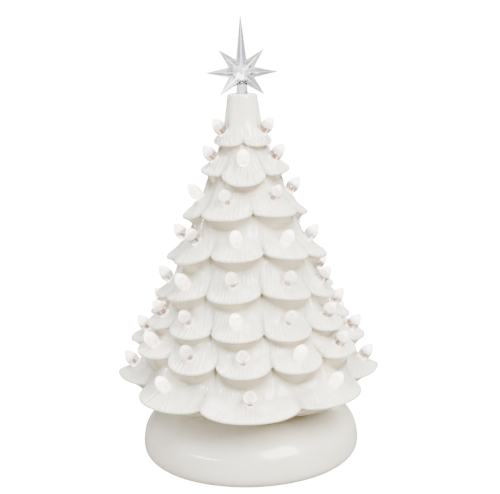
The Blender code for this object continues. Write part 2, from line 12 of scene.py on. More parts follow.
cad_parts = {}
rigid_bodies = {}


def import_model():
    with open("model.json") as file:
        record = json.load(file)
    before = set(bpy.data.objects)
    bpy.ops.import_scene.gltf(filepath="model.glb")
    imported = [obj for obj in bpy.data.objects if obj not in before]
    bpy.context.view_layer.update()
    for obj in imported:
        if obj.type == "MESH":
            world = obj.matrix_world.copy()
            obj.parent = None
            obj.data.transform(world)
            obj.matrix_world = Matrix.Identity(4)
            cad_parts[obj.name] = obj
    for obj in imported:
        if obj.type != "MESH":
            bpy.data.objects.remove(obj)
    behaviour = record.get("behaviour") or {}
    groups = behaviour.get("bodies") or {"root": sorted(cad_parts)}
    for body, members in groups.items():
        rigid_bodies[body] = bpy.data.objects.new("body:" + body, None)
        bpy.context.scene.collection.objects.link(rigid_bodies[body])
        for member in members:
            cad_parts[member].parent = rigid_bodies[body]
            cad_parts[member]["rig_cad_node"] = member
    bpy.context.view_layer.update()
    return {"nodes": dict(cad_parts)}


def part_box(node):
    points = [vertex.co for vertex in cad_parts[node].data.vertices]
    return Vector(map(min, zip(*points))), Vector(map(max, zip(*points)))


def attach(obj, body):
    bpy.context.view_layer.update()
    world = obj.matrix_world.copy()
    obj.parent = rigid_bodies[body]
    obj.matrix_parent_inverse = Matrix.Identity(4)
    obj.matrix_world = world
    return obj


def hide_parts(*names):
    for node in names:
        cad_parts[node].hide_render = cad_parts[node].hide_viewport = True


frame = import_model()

bl_info = {
    "name": "Ceramic peg-bulb tree",
    "version": (1, 0, 0),
    "blender": (4, 5, 0),
    "location": "View3D > Sidebar > Ceramic Tree",
    "description": "Builds a glazed tabletop tree, its clear bulbs and star, base and light unit",
    "category": "Add Mesh",
}

MM = 0.001


def ease(value, low, high):
    """0 below low, 1 above high, and a soft step between."""
    share = np.clip((value - low) / (high - low), 0.0, 1.0)
    return share * share * (3.0 - 2.0 * share)


# ---- sizes taken from the frame ---------------------------------------------------
TREE_LOW, TREE_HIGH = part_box("tree_shell")
BASE_LOW, BASE_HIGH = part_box("base_shell")
STAR_LOW, STAR_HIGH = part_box("star_topper")
TREE_SEAT = TREE_LOW.z
TREE_TOP = TREE_HIGH.z
TREE_HEIGHT = TREE_TOP - TREE_SEAT
SKIRT_RADIUS = -TREE_LOW.y
BASE_RADIUS = -BASE_LOW.y
COLLAR_RADIUS = 46 * MM
COLLAR_WALL = 5 * MM
COLLAR_HEIGHT = 8 * MM
SHELF_HEIGHT = BASE_HIGH.z - COLLAR_HEIGHT
FOOT_HEIGHT = BASE_LOW.z
TREE_HOLE_RADIUS = COLLAR_RADIUS + 0.8 * MM
FOOT_WIDTH = 11 * MM
CROWN_RADIUS = 12.8 * MM
NECK_RADIUS = 16.2 * MM
NECK_HEIGHT = TREE_SEAT + TREE_HEIGHT * 0.905
CROWN_ROUND = 1.5 * MM
STAR_BORE = 4.6 * MM

# A row of boughs: height and radius of its tips as shares of the tree, number of
# boughs, angle of its first bough from the front, height of its underside, depth of
# the clefts, and how much its front and back boughs ride above the side ones.
Row = namedtuple("Row", "up out boughs phase under cleft lift")
ROWS = (
    Row(0.055, 1.000, 8, 0, 5 * MM, 0.17, -1.5 * MM),
    Row(0.179, 0.889, 12, -3, 17 * MM, 0.12, -2.0 * MM),
    Row(0.266, 0.775, 11, -7, 12 * MM, 0.12, 0.0),
    Row(0.370, 0.690, 9, -10, 14 * MM, 0.13, 6.0 * MM),
    Row(0.492, 0.597, 8, -8, 14 * MM, 0.14, 5.0 * MM),
    Row(0.624, 0.472, 6, -22, 14 * MM, 0.14, 2.0 * MM),
    Row(0.749, 0.333, 5, -1, 12 * MM, 0.14, -3.0 * MM),
    Row(0.851, 0.213, 3, 180, 8 * MM, 0.13, -1.0 * MM),
)
UNDER_SLOPE = 0.75
LIP_RADIUS = 1.6 * MM
CLEFT_RISE = 3.5 * MM
CLEFT_CLIMB = 6.0 * MM
CLEFT_POWER = 2.4
SLOPE_POWER = 1.45            # the slope starts nearly level and steepens
SEAT_SHARE = 0.62             # share of the way in at which a bulb stands
SEAT_UP = 0.50
SWELL = 1.1 * MM              # hand-worked unevenness of the boughs
SLOPE_SHARES = (0.10, 0.22, 0.35, 0.48, 0.61, 0.74, 0.87)
BULB_TILT = math.radians(38)
BULB_RADIUS = 5.6 * MM
BULB_LENGTH = 16.5 * MM
# Strong painted glow, standing in for glints, on every third rear bulb.
REAR_SHINING_STEP = 3         # every third rear bulb shines
SEAT_DEPTH = 1.0 * MM
FRONT_HALF = 99               # degrees each side of the front; bulbs past it are rear ones
# Numbers of the bulbs given a strong painted white glow that stands in for glints; the rest get a soft
# painted glow.
SHINING = {2, 5, 7, 11, 13, 23, 24, 25, 32, 33}


# ---- settings ---------------------------------------------------------------------
def colour_property(name, description, default):
    return FloatVectorProperty(name=name, description=description, default=default,
                               subtype='COLOR', size=3, min=0.0, max=1.0)


class TreeSettings(bpy.types.PropertyGroup):
    columns: IntProperty(
        name="Columns", description="Mesh columns round the tree", default=680, min=80, max=1000)
    groove_depth: FloatProperty(
        name="Needle groove depth", description="Depth of the combed needle lines",
        default=1.15 * MM, unit='LENGTH', precision=5)
    groove_spacing: FloatProperty(
        name="Needle spacing", description="Distance between needle lines at the tips",
        default=4.3 * MM, unit='LENGTH', precision=5)
    wall: FloatProperty(
        name="Wall", description="Thickness of the cast wall", default=4.0 * MM, unit='LENGTH')
    glaze: colour_property("Glaze", "Colour of the glaze on the high spots", (0.83, 0.79, 0.69))
    # Pooled colour: thick glaze in the needle grooves, and painted shade in the creases, clefts, bough
    # undersides and on the base under the skirt.
    pool_and_shade: colour_property("Pooled glaze", "Colour where the glaze runs thick",
                            (0.36, 0.305, 0.20))


class BulbSettings(bpy.types.PropertyGroup):
    sides: IntProperty(name="Sides", description="Mesh sides of a bulb", default=28, min=8, max=64)
    glow: FloatProperty(name="Glow", description="Strength of the light in a bulb",
                        default=2.2, min=0.0)
    light: colour_property("Light", "Colour of the light in the bulbs", (1.0, 0.93, 0.84))


class StarSettings(bpy.types.PropertyGroup):
    facet: FloatProperty(name="Ridge facet", description="Half angle of the flat on each ridge",
                         default=math.radians(13), subtype='ANGLE')
    clear: colour_property("Clear plastic", "Tint of the star", (0.97, 0.96, 0.985))


class BaseSettings(bpy.types.PropertyGroup):
    columns: IntProperty(name="Columns", description="Mesh columns round the base",
                         default=160, min=40, max=400)
    glaze: colour_property("Glaze", "Colour of the base's glaze", (0.82, 0.775, 0.67))
    bisque: colour_property("Bare clay", "Colour of the unglazed foot", (0.72, 0.68, 0.61))


class LightUnitSettings(bpy.types.PropertyGroup):
    plastic: colour_property("White plastic", "Colour of the moulded parts", (0.78, 0.78, 0.75))
    jacket: colour_property("Cell jacket", "Colour of the battery jackets", (0.045, 0.05, 0.06))
    band: colour_property("Cell band", "Colour of the band on the jackets", (0.62, 0.36, 0.13))
    lamp: FloatProperty(name="Lamp glow", description="Strength of the frosted cap's light",
                        default=1.4, min=0.0)


class StageSettings(bpy.types.PropertyGroup):
    distance: FloatProperty(name="Camera distance", description="Camera to the tree's axis",
                            default=0.99, unit='LENGTH')
    height: FloatProperty(name="Camera height", description="Camera above the floor",
                          default=0.408, unit='LENGTH')
    pitch: FloatProperty(name="Camera pitch", description="Angle below the horizon",
                         default=math.radians(12.4), subtype='ANGLE')
    roll: FloatProperty(name="Camera roll", description="Lean of the camera",
                        default=math.radians(1.43), subtype='ANGLE')
    lens: FloatProperty(name="Lens", description="Focal length in millimetres", default=82.8)
    soft_light: FloatProperty(name="Soft light", description="Strength of the soft boxes",
                              default=1.0, min=0.0)


class PegTreeSettings(bpy.types.PropertyGroup):
    tree: PointerProperty(type=TreeSettings, name="Tree", description="Tree body")
    bulbs: PointerProperty(type=BulbSettings, name="Bulbs", description="Peg bulbs")
    star: PointerProperty(type=StarSettings, name="Star", description="Star on the crown")
    base: PointerProperty(type=BaseSettings, name="Base", description="Ceramic base")
    unit: PointerProperty(type=LightUnitSettings, name="Light unit", description="Light unit")
    stage: PointerProperty(type=StageSettings, name="Stage", description="Floor, lights, camera")
    # Strong painted glow, standing in for glints, on some of the bulbs.
    shining: BoolProperty(name="Bright bulbs", default=True,
                          description="Let some of the bulbs shine white")


def settings():
    return bpy.context.scene.peg_tree


# ---- shader nodes -----------------------------------------------------------------
class Graph:
    """Short calls that add and link nodes in one tree."""

    def __init__(self, tree):
        self.tree = tree

    def node(self, kind, values=None, **options):
        made = self.tree.nodes.new(kind)
        for key, value in options.items():
            setattr(made, key, value)
        for key, value in (values or {}).items():
            self.feed(made.inputs[key], value)
        return made

    def feed(self, socket, value):
        if isinstance(value, bpy.types.NodeSocket):
            self.tree.links.new(value, socket)
        else:
            socket.default_value = value

    def math(self, operation, first, second=0.0, clamp=False):
        return self.node('ShaderNodeMath', {0: first, 1: second}, operation=operation,
                         use_clamp=clamp).outputs[0]

    def noise(self, vector, scale, detail=2.0, roughness=0.5):
        return self.node('ShaderNodeTexNoise', {"Vector": vector, "Scale": scale,
                                                "Detail": detail,
                                                "Roughness": roughness}).outputs["Fac"]

    def step(self, value, low, high, out_low=0.0, out_high=1.0):
        return self.node('ShaderNodeMapRange',
                         {"Value": value, "From Min": low, "From Max": high,
                          "To Min": out_low, "To Max": out_high},
                         interpolation_type='SMOOTHSTEP').outputs["Result"]

    def stretched(self, vector, scale):
        return self.node('ShaderNodeMapping', {"Vector": vector, "Scale": scale}).outputs[0]

    def mix(self, factor, first, second):
        made = self.node('ShaderNodeMix', data_type='RGBA')
        self.feed(made.inputs[0], factor)
        self.feed(made.inputs[6], first)
        self.feed(made.inputs[7], second)
        return made.outputs[2]

    def attribute(self, name):
        return self.node('ShaderNodeAttribute', attribute_name=name).outputs["Fac"]

    def object_space(self):
        return self.node('ShaderNodeTexCoord').outputs["Object"]


def new_group(name, inputs, outputs):
    """An empty node group: its graph, its input node and its output node."""
    tree = bpy.data.node_groups.new(name, 'ShaderNodeTree')
    kinds = {"float": 'NodeSocketFloat', "colour": 'NodeSocketColor',
             "vector": 'NodeSocketVector'}
    for label, kind, default in inputs:
        socket = tree.interface.new_socket(name=label, in_out='INPUT', socket_type=kinds[kind])
        if default is not None:
            socket.default_value = default
    for label, kind in outputs:
        tree.interface.new_socket(name=label, in_out='OUTPUT', socket_type=kinds[kind])
    graph = Graph(tree)
    return graph, graph.node('NodeGroupInput').outputs, graph.node('NodeGroupOutput').inputs


def glaze_group():
    """Glazed slip: the pooled colour where the Hollow mask says, thick glaze in grooves and painted shade
    in creases and under overhangs; faint mottling, pinholes and a soft ripple.
    """
    graph, given, out = new_group(
        "glaze_surface",
        (("Vector", "vector", None), ("Hollow", "float", 0.0),
         ("Glaze", "colour", (0.8, 0.8, 0.75, 1)), ("Pooled", "colour", (0.6, 0.55, 0.45, 1)),
         ("Ripple", "float", 1.0)),
        (("Colour", "colour"), ("Roughness", "float"), ("Height", "float")))
    cloud = graph.noise(given["Vector"], 38.0, 3.0, 0.55)
    broad = graph.noise(given["Vector"], 9.0, 1.0)
    # Darker where Hollow is high: part thick glaze, part painted shade.
    depth = graph.math('ADD', given["Hollow"], graph.step(cloud, 0.35, 0.75, -0.04, 0.07))
    depth = graph.math('ADD', depth, graph.step(broad, 0.3, 0.7, -0.03, 0.05), clamp=True)
    tone = graph.mix(depth, given["Glaze"], given["Pooled"])
    specks = graph.node('ShaderNodeTexVoronoi', {"Vector": given["Vector"], "Scale": 260.0},
                        feature='F1').outputs["Distance"]
    pinhole = graph.step(specks, 0.04, 0.10, 1.0, 0.0)
    pinhole = graph.math('MULTIPLY', pinhole, graph.step(cloud, 0.60, 0.66))
    graph.feed(out["Colour"], graph.mix(graph.math('MULTIPLY', pinhole, 0.35), tone,
                                        (0.42, 0.36, 0.27, 1)))
    graph.feed(out["Roughness"], graph.step(cloud, 0.2, 0.8, 0.17, 0.27))
    ripple = graph.math('MULTIPLY', graph.noise(given["Vector"], 55.0, 1.0), given["Ripple"])
    fine = graph.math('MULTIPLY', graph.noise(given["Vector"], 420.0, 1.0), 0.10)
    height = graph.math('ADD', ripple, fine)
    graph.feed(out["Height"], graph.math('SUBTRACT', height,
                                         graph.math('MULTIPLY', pinhole, 0.5)))
    return graph.tree


def moulded_group():
    """Moulded plastic: a spark-eroded grain, flow marks and slight scuffing."""
    graph, given, out = new_group(
        "moulded_surface",
        (("Vector", "vector", None), ("Tone", "colour", (0.8, 0.8, 0.8, 1)),
         ("Worn", "colour", (0.7, 0.7, 0.7, 1)), ("Dull", "float", 0.45)),
        (("Colour", "colour"), ("Roughness", "float"), ("Height", "float")))
    grain = graph.noise(given["Vector"], 1500.0, 2.0)
    flow = graph.noise(given["Vector"], 60.0, 3.0)
    stretched = graph.stretched(given["Vector"], (1.0, 9.0, 1.0))
    scuff = graph.step(graph.noise(stretched, 170.0, 4.0, 0.7), 0.60, 0.70)
    graph.feed(out["Colour"], graph.mix(graph.math('MULTIPLY', flow, 0.45), given["Tone"],
                                        given["Worn"]))
    rough = graph.math('ADD', given["Dull"], graph.math('MULTIPLY', scuff, 0.16))
    graph.feed(out["Roughness"], graph.math('ADD', rough, graph.math('MULTIPLY', grain, 0.06)))
    graph.feed(out["Height"], grain)
    return graph.tree


def clear_group():
    """Clear moulded plastic: faint flow lines and handling haze."""
    graph, given, out = new_group(
        "clear_surface", (("Vector", "vector", None), ("Haze", "float", 0.05)),
        (("Roughness", "float"), ("Height", "float")))
    haze = graph.noise(given["Vector"], 130.0, 3.0, 0.6)
    graph.feed(out["Roughness"], graph.math('MULTIPLY', graph.step(haze, 0.45, 0.8),
                                            given["Haze"]))
    graph.feed(out["Height"], graph.noise(given["Vector"], 95.0, 1.0))
    return graph.tree


SHARED = {}


def shared_group(maker):
    """The node group that a maker builds, built once."""
    made = SHARED.get(maker)
    if made is None:
        made = SHARED[maker] = maker()
    return made


def new_material(name, **constants):
    """A material, its graph and its Principled shader, with constants on the sockets."""
    made = bpy.data.materials.new(name)
    made.use_nodes = True
    shader = made.node_tree.nodes["Principled BSDF"]
    for key, value in constants.items():
        shader.inputs[key.replace("_", " ")].default_value = value
    return made, Graph(made.node_tree), shader


def use_group(graph, maker, values):
    made = graph.node('ShaderNodeGroup', node_tree=shared_group(maker))
    for key, value in values.items():
        graph.feed(made.inputs[key], value)
    return made.outputs


def finish_shader(graph, shader, colour, roughness, height, depth):
    """Link the colour, the roughness and a relief of the given depth."""
    relief = graph.node('ShaderNodeBump', {"Height": height, "Distance": depth})
    for key, value in (("Base Color", colour), ("Roughness", roughness),
                       ("Normal", relief.outputs[0])):
        graph.feed(shader.inputs[key], value)


def rgba(colour):
    return (*colour, 1.0)


def glaze_material(name, glaze, pool_and_shade, bare, ripple, needles):
    """Ivory glaze over cast slip, with bare clay where the "bare" attribute says so."""
    made, graph, shader = new_material(name, IOR=1.5, Coat_Weight=0.5, Coat_Roughness=0.06,
                                       Coat_IOR=1.5)
    where = graph.object_space()
    surface = use_group(graph, glaze_group, {
        "Vector": where, "Hollow": graph.attribute("hollow"), "Glaze": rgba(glaze),
        "Pooled": rgba(pool_and_shade), "Ripple": ripple})
    clay = graph.attribute("bare")
    grain = graph.noise(where, 900.0, 3.0, 0.7)
    clay_tone = graph.mix(grain, rgba(bare), rgba([0.82 * c for c in bare]))
    colour = graph.mix(clay, surface["Colour"], clay_tone)
    rough = graph.node('ShaderNodeMix', data_type='FLOAT')
    graph.feed(rough.inputs[0], clay)
    graph.feed(rough.inputs[2], surface["Roughness"])
    graph.feed(rough.inputs[3], 0.85)
    graph.feed(shader.inputs["Coat Weight"], graph.math(
        'MULTIPLY', graph.math('SUBTRACT', 1.0, clay), 0.5))
    height = surface["Height"]
    if needles:
        lines = graph.math('SINE', graph.math('MULTIPLY', graph.attribute("needles"),
                                              3 * math.tau))
        patchy = graph.step(graph.noise(where, 90.0, 2.0), 0.40, 0.62, 0.0, 0.30)
        fine = graph.math('MULTIPLY', graph.math('MULTIPLY', lines, patchy),
                          graph.attribute("combed"))
        height = graph.math('ADD', height, fine)
    finish_shader(graph, shader, colour, rough.outputs[0], height, 0.35 * MM)
    return made


def bulb_material(bulbs):
    """Clear bulb with a painted white glow, strongest in its upper part and round its foot, standing in for
    the inner lamp's light.
    """
    made, graph, shader = new_material("clear_bulb", IOR=1.49, Transmission_Weight=1.0,
                                       Emission_Strength=bulbs.glow)
    where = graph.object_space()
    surface = use_group(graph, clear_group, {"Vector": where, "Haze": 0.10})
    # Painted shade: a brown patch in the lower part stands in for the dark drilled hole seen through the
    # clear plastic.
    foot = graph.attribute("tinted")
    hole_shade_blotch = graph.step(graph.noise(where, 130.0, 2.0), 0.36, 0.58, 0.35, 1.0)
    tone = graph.mix(graph.math('MULTIPLY', foot, hole_shade_blotch), (0.98, 0.975, 0.96, 1),
                     (0.36, 0.225, 0.165, 1))
    shade = graph.mix(graph.attribute("glow"), (0.0, 0.0, 0.0, 1), rgba(bulbs.light))
    graph.feed(shader.inputs["Emission Color"], shade)
    finish_shader(graph, shader, tone, surface["Roughness"], surface["Height"], 0.12 * MM)
    return made


def star_material(star):
    made, graph, shader = new_material("clear_star", IOR=1.52, Transmission_Weight=1.0)
    where = graph.object_space()
    surface = use_group(graph, clear_group, {"Vector": where, "Haze": 0.06})
    cold = graph.step(graph.noise(where, 30.0, 1.0), 0.42, 0.62)
    tone = graph.mix(cold, rgba(star.clear), (0.90, 0.91, 0.96, 1))
    # Painted shade on the side facets and a painted dark-blue reflection on one facet of the top point.
    tone = graph.mix(graph.attribute("flank"), tone, (0.20, 0.20, 0.175, 1))
    tone = graph.mix(graph.attribute("blue"), tone, (0.20, 0.25, 0.40, 1))
    finish_shader(graph, shader, tone, surface["Roughness"], surface["Height"], 0.06 * MM)
    return made


def plastic_material(name, tone, dull=0.42, grain=0.04 * MM):
    made, graph, shader = new_material(name, IOR=1.46)
    surface = use_group(graph, moulded_group, {
        "Vector": graph.object_space(), "Tone": rgba(tone),
        "Worn": rgba([0.86 * c for c in tone]), "Dull": dull})
    finish_shader(graph, shader, surface["Colour"], surface["Roughness"], surface["Height"], grain)
    return made


def frosted_material(unit):
    made, graph, shader = new_material("frosted_cap", IOR=1.46, Transmission_Weight=0.55,
                                       Emission_Strength=unit.lamp)
    where = graph.object_space()
    surface = use_group(graph, moulded_group, {
        "Vector": where, "Tone": (0.93, 0.92, 0.88, 1), "Worn": (0.86, 0.85, 0.80, 1),
        "Dull": 0.50})
    soft = graph.step(graph.noise(where, 120.0, 1.0), 0.2, 0.8, 0.75, 1.0)
    graph.feed(shader.inputs["Emission Color"],
               graph.mix(soft, (0.55, 0.46, 0.34, 1), (1.0, 0.93, 0.82, 1)))
    finish_shader(graph, shader, surface["Colour"], surface["Roughness"], surface["Height"],
                  0.05 * MM)
    return made


def cell_material(unit):
    """Battery: printed jacket with a coloured band, and bright steel at both ends."""
    made, graph, shader = new_material("battery_jacket", IOR=1.5)
    where = graph.object_space()
    steel = graph.attribute("steel")
    band = graph.attribute("band")
    scratch = graph.noise(graph.stretched(where, (1.0, 14.0, 1.0)), 240.0, 3.0)
    jacket = graph.mix(band, rgba(unit.jacket), rgba(unit.band))
    jacket = graph.mix(graph.step(scratch, 0.62, 0.75, 0.0, 0.25), jacket, (0.3, 0.3, 0.3, 1))
    graph.feed(shader.inputs["Metallic"], steel)
    finish_shader(graph, shader, graph.mix(steel, jacket, (0.62, 0.62, 0.60, 1)),
                  graph.step(scratch, 0.3, 0.7, 0.24, 0.38), scratch, 0.02 * MM)
    return made


def metal_material(name, tone, rough=0.28):
    made, graph, shader = new_material(name, Metallic=1.0)
    where = graph.object_space()
    brushed = graph.noise(graph.stretched(where, (1.0, 1.0, 22.0)), 300.0, 3.0)
    dull = [0.7 * c for c in tone]
    colour = graph.mix(graph.step(brushed, 0.45, 0.8), rgba(tone), rgba(dull))
    finish_shader(graph, shader, colour, graph.step(brushed, 0.2, 0.8, rough, rough + 0.16),
                  brushed, 0.02 * MM)
    return made


def board_material():
    """Green lacquered board with bright tracks under the lacquer."""
    made, graph, shader = new_material("circuit_board", Coat_Weight=0.4, Coat_Roughness=0.15)
    where = graph.object_space()
    bricks = graph.node('ShaderNodeTexBrick', {
        "Vector": where, "Scale": 160.0, "Mortar Size": 0.06, "Color1": (0, 0, 0, 1),
        "Color2": (0, 0, 0, 1), "Mortar": (1, 1, 1, 1)}).outputs["Fac"]
    weave = graph.noise(where, 700.0, 2.0)
    green = graph.mix(weave, (0.02, 0.13, 0.055, 1), (0.03, 0.19, 0.08, 1))
    finish_shader(graph, shader, graph.mix(bricks, green, (0.16, 0.36, 0.15, 1)),
                  graph.step(weave, 0.2, 0.8, 0.30, 0.42), graph.math('ADD', bricks, weave),
                  0.04 * MM)
    return made


def felt_material():
    made, graph, shader = new_material("grey_felt", Sheen_Weight=0.5, Sheen_Roughness=0.5)
    where = graph.object_space()
    fibres = graph.node('ShaderNodeTexNoise', {
        "Vector": where, "Scale": 700.0, "Detail": 5.0, "Roughness": 0.75,
        "Distortion": 1.4}).outputs["Fac"]
    colour = graph.mix(fibres, (0.30, 0.29, 0.27, 1), (0.55, 0.54, 0.51, 1))
    finish_shader(graph, shader, colour, graph.step(fibres, 0.2, 0.8, 0.88, 1.0), fibres,
                  0.25 * MM)
    return made


# ---- mesh helpers -----------------------------------------------------------------
def spun(profile, steps, closed=False):
    """Spin (radius, height) points about Z into a closed skin, poles merged."""
    bm = bmesh.new()
    ring = bm.verts.layers.int.new("ring")
    points = []
    for number, (radius, height) in enumerate(profile):
        vert = bm.verts.new((radius, 0.0, height))
        vert[ring] = number
        points.append(vert)
    pairs = list(zip(points, points[1:]))
    if closed:
        pairs.append((points[-1], points[0]))
    pairs = [(a, b) for a, b in pairs if max(a.co.x, b.co.x) > 1e-6]
    edges = [bm.edges.new(pair) for pair in pairs]
    bmesh.ops.spin(bm, geom=points + edges, cent=(0, 0, 0), axis=(0, 0, 1),
                   angle=math.tau, steps=steps, use_merge=True)
    poles = [v for v in bm.verts if math.hypot(v.co.x, v.co.y) < 1e-6]
    bmesh.ops.remove_doubles(bm, verts=poles, dist=1e-5)
    return bm


def through(points, count):
    """A smooth curve of count points that passes through the given ones."""
    given = [Vector(point) for point in points]
    given = [2 * given[0] - given[1]] + given + [2 * given[-1] - given[-2]]
    spans = len(given) - 3
    curve = []
    for number in range(count):
        place = number * spans / (count - 1)
        span = min(int(place), spans - 1)
        t = place - span
        a, b, c, d = given[span:span + 4]
        curve.append(0.5 * (2 * b + (c - a) * t + (2 * a - 5 * b + 4 * c - d) * t * t
                            + (3 * b - a - 3 * c + d) * t ** 3))
    return [tuple(point) for point in curve]


def new_object(bm, name, material):
    bmesh.ops.recalc_face_normals(bm, faces=bm.faces)
    mesh = bpy.data.meshes.new(name)
    bm.to_mesh(mesh)
    bm.free()
    mesh.materials.append(material)
    mesh.shade_smooth()
    made = bpy.data.objects.new(name, mesh)
    bpy.context.scene.collection.objects.link(made)
    return made


def finish(bm, name, material, body, nodes=(), sharp=40, fields=None):
    """Make the bmesh a shown piece that rides on a body and stands for CAD nodes."""
    made = new_object(bm, name, material)
    for label, values in (fields or {}).items():
        layer = made.data.attributes.new(label, 'FLOAT', 'POINT')
        layer.data.foreach_set("value", np.asarray(values, np.float32))
    made.data.set_sharp_from_angle(angle=math.radians(sharp))
    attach(made, body)
    if nodes:
        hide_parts(*nodes)
    return made


def ring_numbers(bm):
    """Index of the profile point behind each vertex of a spun shape."""
    layer = bm.verts.layers.int["ring"]
    return np.array([vert[layer] for vert in bm.verts])


def repaint(node, material):
    """Give a CAD node whose shape is right its finished material."""
    piece = frame["nodes"][node]
    piece.data.materials.clear()
    piece.data.materials.append(material)


def wipe(names):
    """Take away the pieces that an earlier run of an operator made."""
    for name in names:
        old = bpy.data.objects.get(name)
        if old is not None and "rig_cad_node" not in old:
            bpy.data.objects.remove(old)


# ---- tree surface -----------------------------------------------------------------
def bough_count(row, angles):
    """Boughs counted round from the near edge of the first one."""
    return (angles - math.radians(row.phase)) / (math.tau / row.boughs) + 0.5


def bough_turn(row, angles):
    """-1 to 1 across each bough and 0 in its middle."""
    return 2.0 * (bough_count(row, angles) % 1.0) - 1.0


def bough_draw(row, angles, seed):
    """One steady number from -1 to 1 for each bough, fading out in the clefts."""
    number = np.floor(bough_count(row, angles)).astype(int) % row.boughs
    draws = [noise.cell((row.up * 97 + n * 1.7 + 0.5, seed + 0.5, 0.5)) * 2 - 1
             for n in range(row.boughs)]
    return np.array(draws)[number] * (1.0 - np.abs(bough_turn(row, angles)) ** 3)


def soft_gap(row, angles):
    return np.abs(bough_turn(row, angles)) ** CLEFT_POWER


def edge_gap(row, angles):
    """0 along the end of a bough, 1 in the clefts, with a tight turn into each cleft."""
    return 1.0 - (1.0 - np.abs(bough_turn(row, angles)) ** 2.1) ** 0.66


def row_lift(row, angles):
    return row.lift * np.cos(2 * angles)


def cleft_depth(row, angles):
    """The lowest boughs run together at the front and back; the others are cut apart."""
    if row is ROWS[0]:
        return row.cleft * (0.22 + 0.96 * np.sin(angles) ** 2)
    return 1.18 * row.cleft


def tip_ring(row, angles):
    gap = edge_gap(row, angles)
    radius = SKIRT_RADIUS * row.out * (1.0 - cleft_depth(row, angles) * gap)
    radius -= (0.8 + 0.8 * bough_draw(row, angles, 3)) * MM
    height = TREE_SEAT + TREE_HEIGHT * row.up + row_lift(row, angles) + CLEFT_RISE * gap
    if row is ROWS[0]:
        side = np.sin(angles) ** 6
        turn = np.abs(bough_turn(row, angles))
        radius -= 9 * MM * side * turn ** 1.2
        height += 4 * MM * side * (1.0 - turn) ** 1.5
    return radius, height + 0.9 * MM * bough_draw(row, angles, 11)


def crease_ring(row, angles):
    """Crease behind the row's underside, as the bulbs' seats are set out from it."""
    gap = soft_gap(row, angles)
    radius = (SKIRT_RADIUS * row.out - UNDER_SLOPE * row.under) * (1 - 0.5 * row.cleft * gap)
    height = TREE_SEAT + TREE_HEIGHT * row.up - row.under + row_lift(row, angles)
    return radius, height + CLEFT_CLIMB * gap


def peak_ring(row, angles):
    """The crease as seen: between two boughs it climbs right up into the cleft."""
    radius, height = crease_ring(row, angles)
    if row is ROWS[0]:
        return radius, height
    peak = np.abs(bough_turn(row, angles)) ** 1.5
    tip_radius, tip_height = tip_ring(row, angles)
    radius += (tip_radius - 3.0 * MM - radius) * 0.9 * peak
    height += (tip_height - 3.6 * MM - height) * 0.9 * peak
    return radius, height


def above_ring(index, angles, ring):
    """The crease, or the neck, above a row."""
    if index + 1 < len(ROWS):
        return ring(ROWS[index + 1], angles)
    return np.full_like(angles, NECK_RADIUS), np.full_like(angles, NECK_HEIGHT)


def slope_ring(index, share, angles):
    """A ring on the upper side of a row's boughs, share of the way in to the crease."""
    r0, z0 = tip_ring(ROWS[index], angles)
    r1, z1 = above_ring(index, angles, crease_ring)
    r2, z2 = above_ring(index, angles, peak_ring)
    pull = ease(share, 0.60, 1.0)
    r1, z1 = r1 + (r2 - r1) * pull, z1 + (z2 - z1) * pull
    swell = np.array([noise.noise((5.5 * math.sin(a), 5.5 * math.cos(a), 2.0 * share + 9 * index))
                      for a in angles]) * SWELL * math.sin(math.pi * min(share + 0.1, 1.0))
    return r0 + (r1 - r0) * share + swell, z0 + (z1 - z0) * share ** SLOPE_POWER + swell


def groove_pattern(index, share, angles, spacing):
    """Needle lines combed down a bough: their running number and their depth."""
    row = ROWS[index]
    across = bough_turn(row, angles)
    width = math.tau * SKIRT_RADIUS * row.out / row.boughs
    count = max(6, round(width / spacing))
    fanned = across * (1.0 + 0.42 * share) * count / 2
    drift = np.array([noise.noise((3.1 * math.cos(a) * row.out * 4, 3.1 * math.sin(a) * row.out * 4,
                                   1.6 * share + 7 * row.up)) for a in angles])
    number = fanned + 0.9 * drift
    weight = np.array([noise.noise((9 * math.cos(a), 9 * math.sin(a), 2.2 * share + 31 * row.up))
                       for a in angles])
    line = (0.5 + 0.5 * np.cos(math.tau * number)) ** 2.2
    return number, line * np.clip(0.72 + 0.9 * weight, 0.12, 1.0)


Ring = namedtuple("Ring", "radius height hollow bare needles combed")


def plain_ring(angles, radius, height, hollow=0.0, bare=0.0):
    full = np.ones_like(angles)
    return Ring(radius * full, height * full, hollow * full, bare * full, 0 * full, 0 * full)


